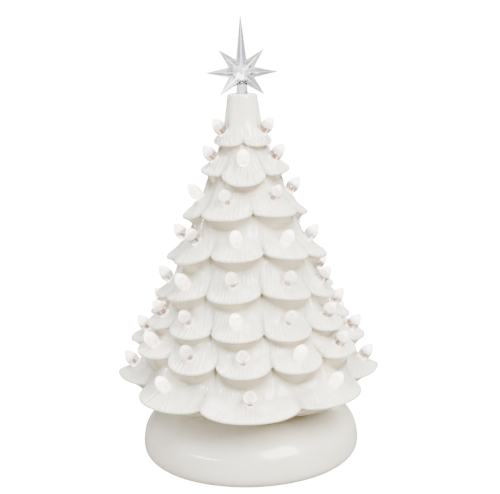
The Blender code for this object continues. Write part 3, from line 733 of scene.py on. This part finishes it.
def bough_rings(index, angles, tree):
    """Rings of one row: crease, underside, rounded lip and the combed slope."""
    row = ROWS[index]
    rings = []
    zero = np.zeros_like(angles)
    tip_radius, tip_height = tip_ring(row, angles)
    centre_r, centre_z = tip_radius - LIP_RADIUS, tip_height - LIP_RADIUS
    cleft = ease(np.abs(bough_turn(row, angles)), 0.84, 1.0)
    if index:
        in_r, in_z = peak_ring(row, angles)
    else:
        foot = TREE_HOLE_RADIUS + FOOT_WIDTH
        in_r = foot + 0.7 * (centre_r - foot)
        in_z = TREE_SEAT + 0.2 * (centre_z - LIP_RADIUS - TREE_SEAT)
    # hollow darkens the glaze towards the pooled colour; 1 in the crease is painted shade.
    rings.append(Ring(in_r, in_z, zero + 1.0, zero, zero, zero))
    low_z = centre_z - LIP_RADIUS
    # Painted shade on the underside, easing a little towards the lip.
    for share in (0.34, 0.70):
        arch = 0.9 * MM * math.sin(math.pi * share)
        rings.append(Ring(in_r + (centre_r - in_r) * share - arch,
                          in_z + (low_z - in_z) * share + arch,
                          zero + 1.0 - 0.25 * share, zero, zero, zero))
    number, line = groove_pattern(index, 0.0, angles, tree.groove_spacing)
    # On the lip, groove lines darken as thick glaze and painted shade; the clefts and the lip's underside
    # get painted shade.
    for degrees in (-90, -48, -8, 32, 68):
        turn = math.radians(degrees)
        reach = 0.75 * ease(degrees, -60, 40)
        cut = tree.groove_depth * line * reach
        rings.append(Ring(centre_r + (LIP_RADIUS - cut) * math.cos(turn),
                          centre_z + (LIP_RADIUS - cut) * math.sin(turn),
                          np.clip(0.40 * reach * line + 0.6 * cleft
                                  + 0.70 * (1 - ease(degrees, -95, -15)), 0, 1),
                          zero, number, zero + reach))
    for share in SLOPE_SHARES:
        radius, height = slope_ring(index, share, angles)
        number, line = groove_pattern(index, share, angles, tree.groove_spacing)
        fade = 1.0 - 0.75 * ease(share, 0.55, 1.0)
        if index == len(ROWS) - 1:
            fade = 1.0 - ease(share, 0.2, 0.8)
        cut = tree.groove_depth * line * fade
        # On the slope, groove lines darken as thick glaze and painted shade; the clefts and the run into
        # the crease above get painted shade.
        hollow = 0.40 * line * fade + 0.70 * cleft * (1 - share) + 0.60 * ease(share, 0.72, 1.0)
        if index == len(ROWS) - 1:
            hollow = 0.40 * line * fade
        rings.append(Ring(radius - 0.6 * cut, height - 0.8 * cut, np.clip(hollow, 0, 1), zero,
                          number, zero + fade))
    return rings


def cavity_rings(angles, wall):
    """The inside of the cast wall, from the crown down to the floor hole."""
    crown = TREE_TOP - 8 * MM
    inner = NECK_RADIUS - wall
    sizes = [(STAR_BORE, crown), (inner - 1 * MM, crown - 4 * MM), (inner, NECK_HEIGHT)]
    for row in reversed(ROWS):
        reach = tip_ring(row, angles)[0].min() - wall
        level = TREE_SEAT + TREE_HEIGHT * row.up + row_lift(row, angles)
        sizes.append((reach, level + 0.5 * MM))
        if row is not ROWS[0]:
            sizes.append((crease_ring(row, angles)[0].min() - wall, level - row.under))
    floor = TREE_SEAT + 5.5 * MM
    sizes += [(reach - 9 * MM, floor + 1.5 * MM), (TREE_HOLE_RADIUS + 2 * MM, floor),
              (TREE_HOLE_RADIUS, floor - 1 * MM)]
    return [plain_ring(angles, radius, height, bare=1.0) for radius, height in sizes]


def outer_rings(angles, tree):
    """The outside of the wall, from the floor hole up to the star's hole."""
    rings = [plain_ring(angles, TREE_HOLE_RADIUS, TREE_SEAT, bare=1.0),
             plain_ring(angles, TREE_HOLE_RADIUS + FOOT_WIDTH, TREE_SEAT, bare=0.9)]
    for index in range(len(ROWS)):
        rings += bough_rings(index, angles, tree)
    shoulder = TREE_TOP - CROWN_ROUND
    sizes = [(NECK_RADIUS + (CROWN_RADIUS - NECK_RADIUS) * share,
              NECK_HEIGHT + (shoulder - NECK_HEIGHT) * share) for share in (0.0, 0.33, 0.66, 0.92)]
    for turn in (0.0, math.pi / 4, math.pi / 2):
        sizes.append((CROWN_RADIUS - CROWN_ROUND * (1 - math.cos(turn)),
                      TREE_TOP - CROWN_ROUND * (1 - math.sin(turn))))
    sizes.append((STAR_BORE, TREE_TOP))
    return rings + [plain_ring(angles, radius, height) for radius, height in sizes]


def bulb_places():
    """Row, angle in degrees and front-bulb number (or None) of every bulb."""
    places = []
    number = 0
    for index, row in enumerate(ROWS):
        for i in range(row.boughs):
            degrees = (row.phase + 360 * i / row.boughs + 180) % 360 - 180
            front = abs(degrees) <= FRONT_HALF
            number += front
            places.append((index, degrees, number if front else None))
    return places


def bulb_matrix(index, degrees):
    """Foot of a bulb on its bough and its axis, leaning outwards."""
    row, angle = ROWS[index], math.radians(degrees)
    r0 = SKIRT_RADIUS * row.out
    z0 = TREE_SEAT + TREE_HEIGHT * row.up + row_lift(row, angle)
    r1, z1 = above_ring(index, np.array([angle]), crease_ring)
    radius = r0 + (float(r1[0]) - r0) * SEAT_SHARE
    height = z0 + (float(z1[0]) - z0) * SEAT_UP
    out = Vector((math.sin(angle), -math.cos(angle), 0.0))
    axis = math.sin(BULB_TILT) * out
    axis.z = math.cos(BULB_TILT)
    spot = radius * out + Vector((0, 0, height)) - SEAT_DEPTH * axis
    side = Vector((math.cos(angle), math.sin(angle), 0.0))
    turn = Matrix((side, axis.cross(side), axis)).transposed().to_4x4()
    return Matrix.Translation(spot) @ turn


def seat_bulbs(points, outside):
    """Level the glaze under each bulb and keep it clear of the bulb's sides."""
    for index, degrees, _ in bulb_places():
        place = bulb_matrix(index, degrees)
        spot, axis = np.array(place.translation), np.array(place.col[2][:3])
        offset = points - spot
        along = offset @ axis
        sideways = offset - along[:, None] * axis
        across = np.linalg.norm(sideways, axis=1)
        near = outside & (across < 9 * MM) & (np.abs(along) < 6 * MM)
        weight = (1.0 - ease(across, 5.2 * MM, 8.6 * MM)) * near
        points -= (weight * (along - 0.5 * MM))[:, None] * axis
        room = BULB_RADIUS + 0.7 * MM
        high = (along > 2.5 * MM) & (along < 0.7 * BULB_LENGTH)
        inside = outside & high & (across < room) & (across > 1e-6)
        push = np.where(inside, room / np.maximum(across, 1e-6) - 1.0, 0.0)
        points += push[:, None] * sideways
    return points


def make_tree(tree, material):
    """Spin the wall's section and push its rings out into combed boughs."""
    columns = tree.columns
    turns = np.arange(columns) * math.tau / columns
    outside = outer_rings(turns, tree)
    rings = outside + cavity_rings(turns, tree.wall)
    section = [(ring.radius[0], ring.height[0]) for ring in rings]
    bm = spun(section, columns, closed=True)
    number = ring_numbers(bm)
    flat = np.array([vert.co for vert in bm.verts])
    heading = np.arctan2(flat[:, 0], -flat[:, 1])
    column = np.rint(heading / (math.tau / columns)).astype(int) % columns
    tables = {name: np.array([getattr(ring, name) for ring in rings]) for name in Ring._fields}
    radius, height = tables["radius"][number, column], tables["height"][number, column]
    points = np.stack((radius * np.sin(turns[column]), -radius * np.cos(turns[column]), height), 1)
    points = seat_bulbs(points, number < len(outside))
    for vert, point in zip(bm.verts, points):
        vert.co = point
    fields = {name: tables[name][number, column]
              for name in ("hollow", "bare", "needles", "combed")}
    return finish(bm, "glazed_tree", material, "tree", ("tree_shell",),
                  sharp=75, fields=fields)


# ---- bulbs ------------------------------------------------------------------------
PEG_RADIUS = 2.4 * MM
PEG_LENGTH = 9 * MM
CORE_TOP = 6.8 * MM


def bulb_section():
    """Hollow peg, beaded foot and flame-shaped top, from the core's top to the tip."""
    core = [(0.0, CORE_TOP), (0.8 * MM, CORE_TOP - 0.5 * MM), (1.3 * MM, CORE_TOP - 2.0 * MM),
            (1.4 * MM, -PEG_LENGTH)]
    peg = [(PEG_RADIUS - 0.3 * MM, -PEG_LENGTH), (PEG_RADIUS, -PEG_LENGTH + 0.3 * MM),
           (PEG_RADIUS, 0.5 * MM)]
    bead = [(4.1 * MM, 0.35 * MM), (4.5 * MM, 0.6 * MM), (4.65 * MM, 1.05 * MM),
            (4.5 * MM, 1.5 * MM), (4.35 * MM, 1.7 * MM)]
    flame = through([(4.4 * MM, 2.0 * MM), (5.2 * MM, 3.6 * MM), (5.6 * MM, 5.8 * MM),
                     (5.45 * MM, 8.4 * MM), (4.75 * MM, 11.0 * MM), (3.55 * MM, 13.3 * MM),
                     (2.1 * MM, 15.1 * MM), (0.8 * MM, 16.2 * MM)], 18)
    return core + peg + bead + flame + [(0.0, BULB_LENGTH)]


def make_bulb(name, place, nodes, bright, bulbs, material):
    section = bulb_section()
    bm = spun(section, bulbs.sides)
    number = ring_numbers(bm)
    radius, height = np.array(section).T
    outer = np.arange(len(section)) > 6
    # Painted glow: bright in the upper part and round the foot; bright bulbs get a strong painted glow
    # standing in for glints.
    lit = 1.6 * ease(height, 7.0 * MM, 10.0 * MM)
    lit += 0.9 * (1.0 - ease(height, 1.3 * MM, 2.6 * MM))
    if bright:
        lit = 3.2 + 0.8 * ease(height, 2.0 * MM, 9.0 * MM)
    glow = np.where(outer, lit, 0.6 if bright else 0.0)
    # Painted shade of the hole under the bulb, on the peg and core and in a band low on the flame.
    tinted = np.where(outer, ease(height, 1.6 * MM, 2.6 * MM) - ease(height, 6.5 * MM, 9.6 * MM),
                      1.0)
    bm.transform(place)
    return finish(bm, name, material, "tree", nodes, sharp=60,
                  fields={"glow": glow[number], "tinted": tinted[number]})


def make_seats(material):
    """Rims of bare clay where the holes were drilled, one under each bulb, dark brown as painted shade of
    the hole.
    """
    seats = bmesh.new()
    section = [(2.7 * MM, -3.0 * MM), (2.7 * MM, 0.05 * MM), (3.0 * MM, 0.18 * MM),
               (4.0 * MM, 0.22 * MM), (4.6 * MM, 0.0), (4.6 * MM, -3.0 * MM)]
    for index, degrees, _ in bulb_places():
        one = spun(section, 20, closed=True)
        one.transform(bulb_matrix(index, degrees) @ Matrix.Translation((0, 0, 0.1 * MM)))
        holder = bpy.data.meshes.new("holder")
        one.to_mesh(holder)
        one.free()
        seats.from_mesh(holder)
        bpy.data.meshes.remove(holder)
    return finish(seats, "drilled_seats", material, "tree")


# ---- star -------------------------------------------------------------------------
STAR_TABLE = 4.5 * MM         # where the ridges' flat tops reach the cut centre
STAR_TABLE_DEPTH = 8.3 * MM
STAR_CENTRE = TREE_TOP + 18 * MM
SLANT_REACH = 28 * MM         # from the centre to the four slanting points
NOTCH_RADIUS = 12 * MM


def star_outline():
    """Eight points and the notches between them, as (x, z) about the centre."""
    side = STAR_HIGH.x
    reach = {0: STAR_HIGH.z - STAR_CENTRE, 90: side, 270: side, 180: 10 * MM}
    outline = []
    for turn in range(0, 360, 45):
        for degrees, radius in ((turn, reach.get(turn, SLANT_REACH)), (turn + 22.5, NOTCH_RADIUS)):
            angle = math.radians(degrees)
            outline.append((radius * math.sin(angle), radius * math.cos(angle)))
    return outline


def make_star(star, material):
    """Faceted star: a flat-topped ridge along each point, and a cut centre on both sides."""
    bm = bmesh.new()
    rim = [bm.verts.new((x, 0.0, z)) for x, z in star_outline()]
    flank, blue = (bm.faces.layers.float.new(name) for name in ("flank", "blue"))
    for side in (-1, 1):
        peak = bm.verts.new((0.0, side * STAR_HIGH.y, 0.0))
        table = []
        for turn in range(0, 360, 45):
            for lean in (-star.facet, star.facet):
                angle = math.radians(turn) + lean
                table.append(bm.verts.new((STAR_TABLE * math.sin(angle),
                                           side * STAR_TABLE_DEPTH,
                                           STAR_TABLE * math.cos(angle))))
        for point in range(8):
            tip, after, before = rim[2 * point], rim[2 * point + 1], rim[2 * point - 1]
            left, right = table[2 * point], table[2 * point + 1]
            following = table[(2 * point + 2) % 16]
            # The second number is painted shade on the facet; the top point's right flank also gets a
            # painted dark-blue reflection.
            for corners, facet_darkening in (((tip, before, left), 0.55), ((tip, left, right), 0.0),
                                  ((tip, right, after), 0.75), ((after, right, following), 0.25),
                                  ((left, right, peak), 0.0), ((right, following, peak), 0.1)):
                face = bm.faces.new(corners)
                face[flank] = facet_darkening
                face[blue] = 0.85 if point == 0 and facet_darkening == 0.75 else 0.0
    bm.transform(Matrix.Translation((0, 0, STAR_CENTRE)))
    return finish(bm, "faceted_star", material, "star", ("star_topper",), sharp=1)


def make_stem(material):
    low = STAR_LOW.z
    section = [(0.0, low), (3.7 * MM, low), (4.2 * MM, low + 0.6 * MM),
               (4.2 * MM, TREE_TOP + 0.3 * MM), (5.4 * MM, TREE_TOP + 0.3 * MM),
               (5.5 * MM, TREE_TOP + 1.2 * MM), (5.2 * MM, TREE_TOP + 2.2 * MM),
               (5.0 * MM, TREE_TOP + 9.5 * MM), (4.2 * MM, TREE_TOP + 12.5 * MM),
               (0.0, TREE_TOP + 14.0 * MM)]
    bm = spun(section, 8)
    bmesh.ops.rotate(bm, verts=bm.verts, matrix=Matrix.Rotation(math.tau / 16, 3, 'Z'))
    # Painted shade on every other facet, turned so that a clear facet faces the front.
    flank = bm.faces.layers.float.new("flank")
    for face in bm.faces:
        middle = face.calc_center_median()
        eighth = round(math.atan2(middle.y, middle.x) / (math.tau / 8))
        face[flank] = 0.55 if eighth % 2 else 0.0
    return finish(bm, "star_stem", material, "star", sharp=1)


# ---- base -------------------------------------------------------------------------
def base_section():
    """Foot, full belly, soft shoulder, shelf and collar, then down the inside."""
    shelf = COLLAR_RADIUS + FOOT_WIDTH
    drop = BASE_RADIUS - shelf
    rise = SHELF_HEIGHT - FOOT_HEIGHT
    shares = ((0.33, 0.00), (0.13, 0.035), (0.03, 0.105), (0.00, 0.185), (0.01, 0.30),
              (0.05, 0.43), (0.13, 0.53), (0.26, 0.63), (0.45, 0.72), (0.66, 0.79),
              (0.86, 0.85), (0.98, 0.92), (1.00, 1.00))
    outside = through([(BASE_RADIUS - a * drop, FOOT_HEIGHT + b * rise) for a, b in shares], 56)
    outside = [(min(r, BASE_RADIUS), max(z, FOOT_HEIGHT)) for r, z in outside]
    collar_top = BASE_HIGH.z
    bore = COLLAR_RADIUS - COLLAR_WALL
    collar = [(COLLAR_RADIUS + 1 * MM, SHELF_HEIGHT), (COLLAR_RADIUS, SHELF_HEIGHT + 0.6 * MM),
              (COLLAR_RADIUS, collar_top - 1.2 * MM),
              (COLLAR_RADIUS - 0.4 * MM, collar_top - 0.35 * MM),
              (COLLAR_RADIUS - 1.2 * MM, collar_top), (bore + 1.2 * MM, collar_top),
              (bore + 0.35 * MM, collar_top - 0.35 * MM), (bore, collar_top - 1.2 * MM),
              (bore, SHELF_HEIGHT - 6 * MM)]
    hollow = ((0.90, 0.74), (0.68, 0.68), (0.44, 0.60), (0.26, 0.50), (0.17, 0.38), (0.15, 0.26))
    inside = through([(BASE_RADIUS - a * drop, FOOT_HEIGHT + b * rise) for a, b in hollow], 16)
    foot_inner = BASE_RADIUS - 23 * MM
    mouth = foot_inner - 5 * MM
    ledge = 9 * MM
    rim = [(mouth + 2 * MM, ledge + 4 * MM), (mouth, ledge + 3 * MM), (mouth, ledge),
           (foot_inner, ledge), (foot_inner, FOOT_HEIGHT + 0.4 * MM),
           (foot_inner + 0.4 * MM, FOOT_HEIGHT)]
    return outside, collar, inside + rim


def make_base(base, material):
    outside, collar, inside = base_section()
    section = outside + collar + inside
    bm = spun(section, base.columns, closed=True)
    number = ring_numbers(bm)
    radius, height = np.array(section).T
    order = np.arange(len(section))
    under = (order >= len(outside) + 7)
    bare = np.where(under, 1.0, 1.0 - ease(height, FOOT_HEIGHT + 0.2 * MM, FOOT_HEIGHT + 1.4 * MM))
    bare = np.where((order >= len(outside) - 2) & (order < len(outside) + 7), 0.0, bare)
    # Painted shade on the upper belly and shoulder, under the tree's skirt, in the pooled colour.
    hollow = ease(height, 0.50 * SHELF_HEIGHT, 0.95 * SHELF_HEIGHT) * 0.80 * (order < len(outside))
    return finish(bm, "glazed_base", material, "base", ("base_shell",),
                  sharp=50, fields={"hollow": hollow[number], "bare": bare[number]})


def make_pads(material):
    for number in range(1, 5):
        node = f"foot_pad_{number}"
        low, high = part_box(node)
        middle = (low + high) / 2
        reach, top = (high.x - low.x) / 2, high.z
        section = [(0.0, 0.0), (reach - 0.5 * MM, 0.0), (reach - 0.1 * MM, 0.3 * MM),
                   (reach, 0.7 * MM), (reach - 0.1 * MM, top - 0.2 * MM),
                   (reach - 0.3 * MM, top), (0.0, top)]
        bm = spun(section, 32)
        bm.transform(Matrix.Translation((middle.x, middle.y, 0.0)))
        finish(bm, f"felt_pad_{number}", material, "base", (node,), sharp=50)


# ---- light unit -------------------------------------------------------------------
LAMP_RADIUS = 2.35 * MM


def make_cell(number, material):
    """One battery: rolled jacket ends, a nub with a vent rim and a flat far end."""
    node = f"battery_{number}"
    low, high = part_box(node)
    middle = (low + high) / 2
    half, radius = (high.y - low.y) / 2, (high.x - low.x) / 2
    section = [(0.0, -half + 0.25 * MM), (4.6 * MM, -half + 0.25 * MM), (4.9 * MM, -half),
               (radius - 0.9 * MM, -half), (radius - 0.25 * MM, -half + 0.25 * MM),
               (radius, -half + 0.9 * MM), (radius, half - 2.6 * MM),
               (radius - 0.3 * MM, half - 1.8 * MM), (radius - 1.1 * MM, half - 1.4 * MM),
               (4.2 * MM, half - 1.4 * MM), (3.9 * MM, half - 1.1 * MM),
               (2.9 * MM, half - 1.1 * MM), (2.7 * MM, half - 0.5 * MM),
               (2.2 * MM, half), (0.0, half)]
    steel = np.array([1, 1, 1, 1, 0, 0, 0, 0, 0, 0, 1, 1, 1, 1, 1], float)
    bands = [(radius, half - 14.5 * MM), (radius, half - 14.4 * MM)]
    section[6:6] = bands
    steel = np.insert(steel, 6, (0.0, 0.0))
    band = np.zeros(len(section))
    band[7:12] = 1.0
    bm = spun(section, 40)
    ring = ring_numbers(bm)
    facing = math.pi / 2 if number == 2 else -math.pi / 2
    bm.transform(Matrix.Translation(middle) @ Matrix.Rotation(facing, 4, 'X'))
    finish(bm, f"cell_{number}", material, "base", (node,), sharp=40,
           fields={"steel": steel[ring], "band": band[ring]})


def make_post(material):
    low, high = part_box("light_post")
    flange, head = high.x, 12.8 * MM
    foot, top = low.z, high.z
    section = [(5 * MM, foot), (flange - 0.3 * MM, foot), (flange, foot + 0.3 * MM),
               (flange, foot + 2.1 * MM), (flange - 0.4 * MM, foot + 2.5 * MM),
               (9.0 * MM, foot + 2.6 * MM), (7.6 * MM, foot + 3.2 * MM), (7 * MM, foot + 4.6 * MM),
               (7 * MM, top - 6.0 * MM), (7.8 * MM, top - 4.2 * MM), (9.5 * MM, top - 3.1 * MM),
               (head - 0.3 * MM, top - 3.0 * MM), (head, top - 2.7 * MM), (head, top - 0.2 * MM),
               (head - 0.2 * MM, top), (5 * MM, top)]
    finish(spun(section, 48, closed=True), "lamp_post", material, "base",
           ("light_post",), sharp=40)


def make_cap(material):
    low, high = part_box("light_diffuser")
    outer, foot, top = high.x, low.z, high.z
    inner = outer - 1.2 * MM
    dome = through([(outer, top - 8 * MM), (0.93 * outer, top - 4.6 * MM),
                    (0.72 * outer, top - 2.2 * MM), (0.38 * outer, top - 0.6 * MM),
                    (0.0, top)], 12)
    lining = through([(0.0, top - 1.2 * MM), (0.36 * inner, top - 1.8 * MM),
                      (0.70 * inner, top - 3.4 * MM), (0.92 * inner, top - 6.0 * MM),
                      (inner, top - 9.2 * MM)], 10)
    section = ([(inner, foot), (outer - 0.2 * MM, foot), (outer, foot + 0.2 * MM)] + dome
               + lining)
    finish(spun(section, 48, closed=True), "frosted_cap", material, "base",
           ("light_diffuser",), sharp=40)


def make_lamps(material):
    for number in range(1, 4):
        node = f"led_{number}"
        low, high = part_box(node)
        middle = (low + high) / 2
        foot, tall = low.z, high.z - low.z
        dome = [(LAMP_RADIUS * math.cos(a), tall - LAMP_RADIUS + LAMP_RADIUS * math.sin(a))
                for a in [math.radians(12 * k) for k in range(8)]]
        section = ([(0.0, 0.0), (2.5 * MM, 0.0), (2.5 * MM, 0.9 * MM), (LAMP_RADIUS, 1.1 * MM)]
                   + dome + [(0.0, tall)])
        bm = spun(section, 24)
        bm.transform(Matrix.Translation((middle.x, middle.y, foot)))
        count = len(bm.verts)
        finish(bm, f"lamp_{number}", material, "base", (node,), sharp=40,
               fields={"glow": np.full(count, 1.0), "tinted": np.zeros(count)})


# ---- stage ------------------------------------------------------------------------
PAPER_GLOW = 20.0             # what the eye sees of the white sweep and of the room behind it


def make_floor():
    """A pale sweep: flat floor that curves up into a wall far behind."""
    bm = bmesh.new()
    section = [(-3.0, 0.0), (2.2, 0.0)]
    section += [(2.2 + 0.8 * math.sin(a), 0.8 - 0.8 * math.cos(a))
                for a in [math.radians(9 * k) for k in range(1, 11)]]
    section.append((3.0, 3.2))
    line = [bm.verts.new((-4.0, y, z)) for y, z in section]
    edges = [bm.edges.new(pair) for pair in zip(line, line[1:])]
    new = bmesh.ops.extrude_edge_only(bm, edges=edges)["geom"]
    bmesh.ops.translate(bm, vec=(8.0, 0, 0), verts=[g for g in new
                                                   if isinstance(g, bmesh.types.BMVert)])
    made, graph, shader = new_material("pale_paper", Roughness=0.85,
                                       Emission_Strength=PAPER_GLOW)
    path = graph.node('ShaderNodeLightPath').outputs
    through_clear = graph.math('MULTIPLY', path["Is Transmission Ray"], 0.11)
    seen = graph.math('MAXIMUM', path["Is Camera Ray"], through_clear)
    paper = graph.noise(graph.object_space(), 40.0, 3.0)
    tone = graph.mix(paper, (0.20, 0.185, 0.155, 1), (0.23, 0.215, 0.18, 1))
    graph.feed(shader.inputs["Base Color"], tone)
    graph.feed(shader.inputs["Emission Color"],
               graph.mix(seen, (0.0, 0.0, 0.0, 1), (1.0, 1.0, 1.0, 1)))
    new_object(bm, "pale_sweep", made)


def soft_box(name, place, target, size, power, colour=(1.0, 1.0, 1.0)):
    light = bpy.data.lights.new(name, 'AREA')
    light.shape = 'RECTANGLE'
    light.size, light.size_y = size
    light.energy = power
    light.color = colour
    made = bpy.data.objects.new(name, light)
    made.location = place
    made.rotation_euler = (Vector(target) - Vector(place)).to_track_quat('-Z', 'Y').to_euler()
    bpy.context.scene.collection.objects.link(made)


def make_lights(stage):
    power = stage.soft_light
    middle = (0.0, 0.0, 0.18)
    soft_box("key_box", (0.80, -1.15, 1.25), middle, (1.1, 1.0), 132 * power, (1.0, 0.985, 0.955))
    soft_box("fill_box", (-1.5, -0.7, 0.7), middle, (1.0, 1.2), 14 * power, (0.96, 0.975, 1.0))
    soft_box("top_box", (-0.1, 0.1, 1.7), middle, (1.3, 1.3), 76 * power)
    soft_box("back_box", (0.3, 1.5, 0.9), middle, (1.2, 1.0), 22 * power, (1.0, 0.985, 0.96))
    soft_box("strip_box", (-0.80, -0.73, 0.38), (0.0, 0.0, 0.03), (0.55, 0.025), 8 * power)
    world = bpy.context.scene.world or bpy.data.worlds.new("studio")
    bpy.context.scene.world = world
    world.use_nodes = True
    back = world.node_tree.nodes["Background"]
    back.inputs["Color"].default_value = (1.0, 0.955, 0.87, 1)
    graph = Graph(world.node_tree)
    seen = graph.node('ShaderNodeLightPath').outputs["Is Camera Ray"]
    graph.feed(back.inputs["Strength"], graph.step(seen, 0.0, 1.0, 0.30 * power, PAPER_GLOW))


def make_camera(stage):
    data = bpy.data.cameras.new("view")
    data.lens = stage.lens
    data.sensor_width = 36.0
    made = bpy.data.objects.new("view", data)
    yaw = Matrix.Rotation(-math.radians(0.2), 3, 'Z')
    tilt = Matrix.Rotation(math.pi / 2 - stage.pitch, 3, 'X')
    lean = Matrix.Rotation(-stage.roll, 3, 'Z')
    made.rotation_euler = (yaw @ tilt @ lean).to_euler()
    made.location = (0.0, -stage.distance, stage.height)
    bpy.context.scene.collection.objects.link(made)
    bpy.context.scene.camera = made


# ---- operators --------------------------------------------------------------------
class CERAMICTREE_OT_tree(bpy.types.Operator):
    """Build the glazed tree body with its rows of combed boughs"""
    bl_idname = "ceramic_tree.tree"
    bl_label = "Tree Body"

    def execute(self, context):
        wipe(["glazed_tree", "drilled_seats"])
        tree, base = settings().tree, settings().base
        glaze = glaze_material("ivory_glaze", tree.glaze, tree.pool_and_shade, base.bisque, 0.25, True)
        make_tree(tree, glaze)
        # Dark brown: painted shade of the drilled hole under each bulb.
        clay = plastic_material("drilled_clay", (0.20, 0.12, 0.08), dull=0.75, grain=0.08 * MM)
        make_seats(clay)
        return {'FINISHED'}


class CERAMICTREE_OT_bulbs(bpy.types.Operator):
    """Build the clear peg bulbs, one on every bough"""
    bl_idname = "ceramic_tree.bulbs"
    bl_label = "Peg Bulbs"

    def execute(self, context):
        bulbs = settings().bulbs
        clear = bulb_material(bulbs)
        rear = 0
        for index, degrees, number in bulb_places():
            if number is None:
                rear += 1
            name = f"rear_bulb_{rear:02d}" if number is None else f"peg_bulb_{number:02d}"
            nodes = () if number is None else (f"bulb_{number:02d}",)
            # Strong painted glow, standing in for glints, on the listed bulbs and on every third rear bulb.
            bright = settings().shining and (number in SHINING if number else rear % REAR_SHINING_STEP == 0)
            wipe([name])
            make_bulb(name, bulb_matrix(index, degrees), nodes, bright, bulbs, clear)
        return {'FINISHED'}


class CERAMICTREE_OT_star(bpy.types.Operator):
    """Build the faceted star and its stem"""
    bl_idname = "ceramic_tree.star"
    bl_label = "Star"

    def execute(self, context):
        wipe(["faceted_star", "star_stem"])
        clear = star_material(settings().star)
        make_star(settings().star, clear)
        make_stem(clear)
        return {'FINISHED'}


class CERAMICTREE_OT_base(bpy.types.Operator):
    """Build the smooth glazed base and its felt pads"""
    bl_idname = "ceramic_tree.base"
    bl_label = "Base"

    def execute(self, context):
        wipe(["glazed_base"] + [f"felt_pad_{n}" for n in range(1, 5)])
        base = settings().base
        pool_and_shade = settings().tree.pool_and_shade
        make_base(base, glaze_material("base_glaze", base.glaze, pool_and_shade, base.bisque, 0.35, False))
        make_pads(felt_material())
        return {'FINISHED'}


class CERAMICTREE_OT_light_unit(bpy.types.Operator):
    """Build the lamp post, lamps, cells and covers inside the base"""
    bl_idname = "ceramic_tree.light_unit"
    bl_label = "Light Unit"

    def execute(self, context):
        wipe(["lamp_post", "frosted_cap"] + [f"{kind}_{n}" for kind in ("cell", "lamp")
                                             for n in range(1, 4)])
        unit = settings().unit
        white = plastic_material("white_moulding", unit.plastic)
        for node in ("bottom_plate", "battery_box", "battery_door"):
            repaint(node, white)
        repaint("switch_body", plastic_material("black_moulding", (0.03, 0.03, 0.03), dull=0.5))
        repaint("switch_slider", plastic_material("slider_moulding", (0.62, 0.62, 0.60)))
        nickel = metal_material("nickel_strip", (0.66, 0.64, 0.60))
        repaint("contact_front", nickel)
        repaint("contact_rear", nickel)
        repaint("led_board", board_material())
        cell = cell_material(unit)
        for number in range(1, 4):
            make_cell(number, cell)
        make_post(white)
        make_cap(frosted_material(unit))
        make_lamps(bulb_material(settings().bulbs))
        return {'FINISHED'}


class CERAMICTREE_OT_stage(bpy.types.Operator):
    """Set up the pale sweep, the soft lights and the camera"""
    bl_idname = "ceramic_tree.stage"
    bl_label = "Stage"

    def execute(self, context):
        wipe(["pale_sweep", "view", "key_box", "fill_box", "top_box", "strip_box", "back_box"])
        make_floor()
        make_lights(settings().stage)
        make_camera(settings().stage)
        return {'FINISHED'}


OPERATORS = (CERAMICTREE_OT_stage, CERAMICTREE_OT_tree, CERAMICTREE_OT_bulbs,
             CERAMICTREE_OT_star, CERAMICTREE_OT_base, CERAMICTREE_OT_light_unit)


class CERAMICTREE_PT_panel(bpy.types.Panel):
    """Sizes, colours and the steps that build the tree"""
    bl_idname = "CERAMICTREE_PT_panel"
    bl_label = "Ceramic Tree"
    bl_space_type = 'VIEW_3D'
    bl_region_type = 'UI'
    bl_category = "Ceramic Tree"

    def draw(self, context):
        layout = self.layout
        for part in ("tree", "bulbs", "star", "base", "unit", "stage"):
            group = getattr(context.scene.peg_tree, part)
            box = layout.box()
            box.label(text=part.capitalize())
            for name in group.__annotations__:
                box.prop(group, name)
        layout.prop(context.scene.peg_tree, "shining")
        for operator in OPERATORS:
            layout.operator(operator.bl_idname)


CLASSES = (TreeSettings, BulbSettings, StarSettings, BaseSettings, LightUnitSettings,
           StageSettings, PegTreeSettings, *OPERATORS, CERAMICTREE_PT_panel)


def register():
    for kind in CLASSES:
        bpy.utils.register_class(kind)
    bpy.types.Scene.peg_tree = PointerProperty(type=PegTreeSettings)


def unregister():
    del bpy.types.Scene.peg_tree
    for kind in reversed(CLASSES):
        bpy.utils.unregister_class(kind)


def main():
    register()
    bpy.ops.ceramic_tree.stage()
    bpy.ops.ceramic_tree.tree()
    bpy.ops.ceramic_tree.bulbs()
    bpy.ops.ceramic_tree.star()
    bpy.ops.ceramic_tree.base()
    bpy.ops.ceramic_tree.light_unit()


if __name__ == "__main__":
    main()
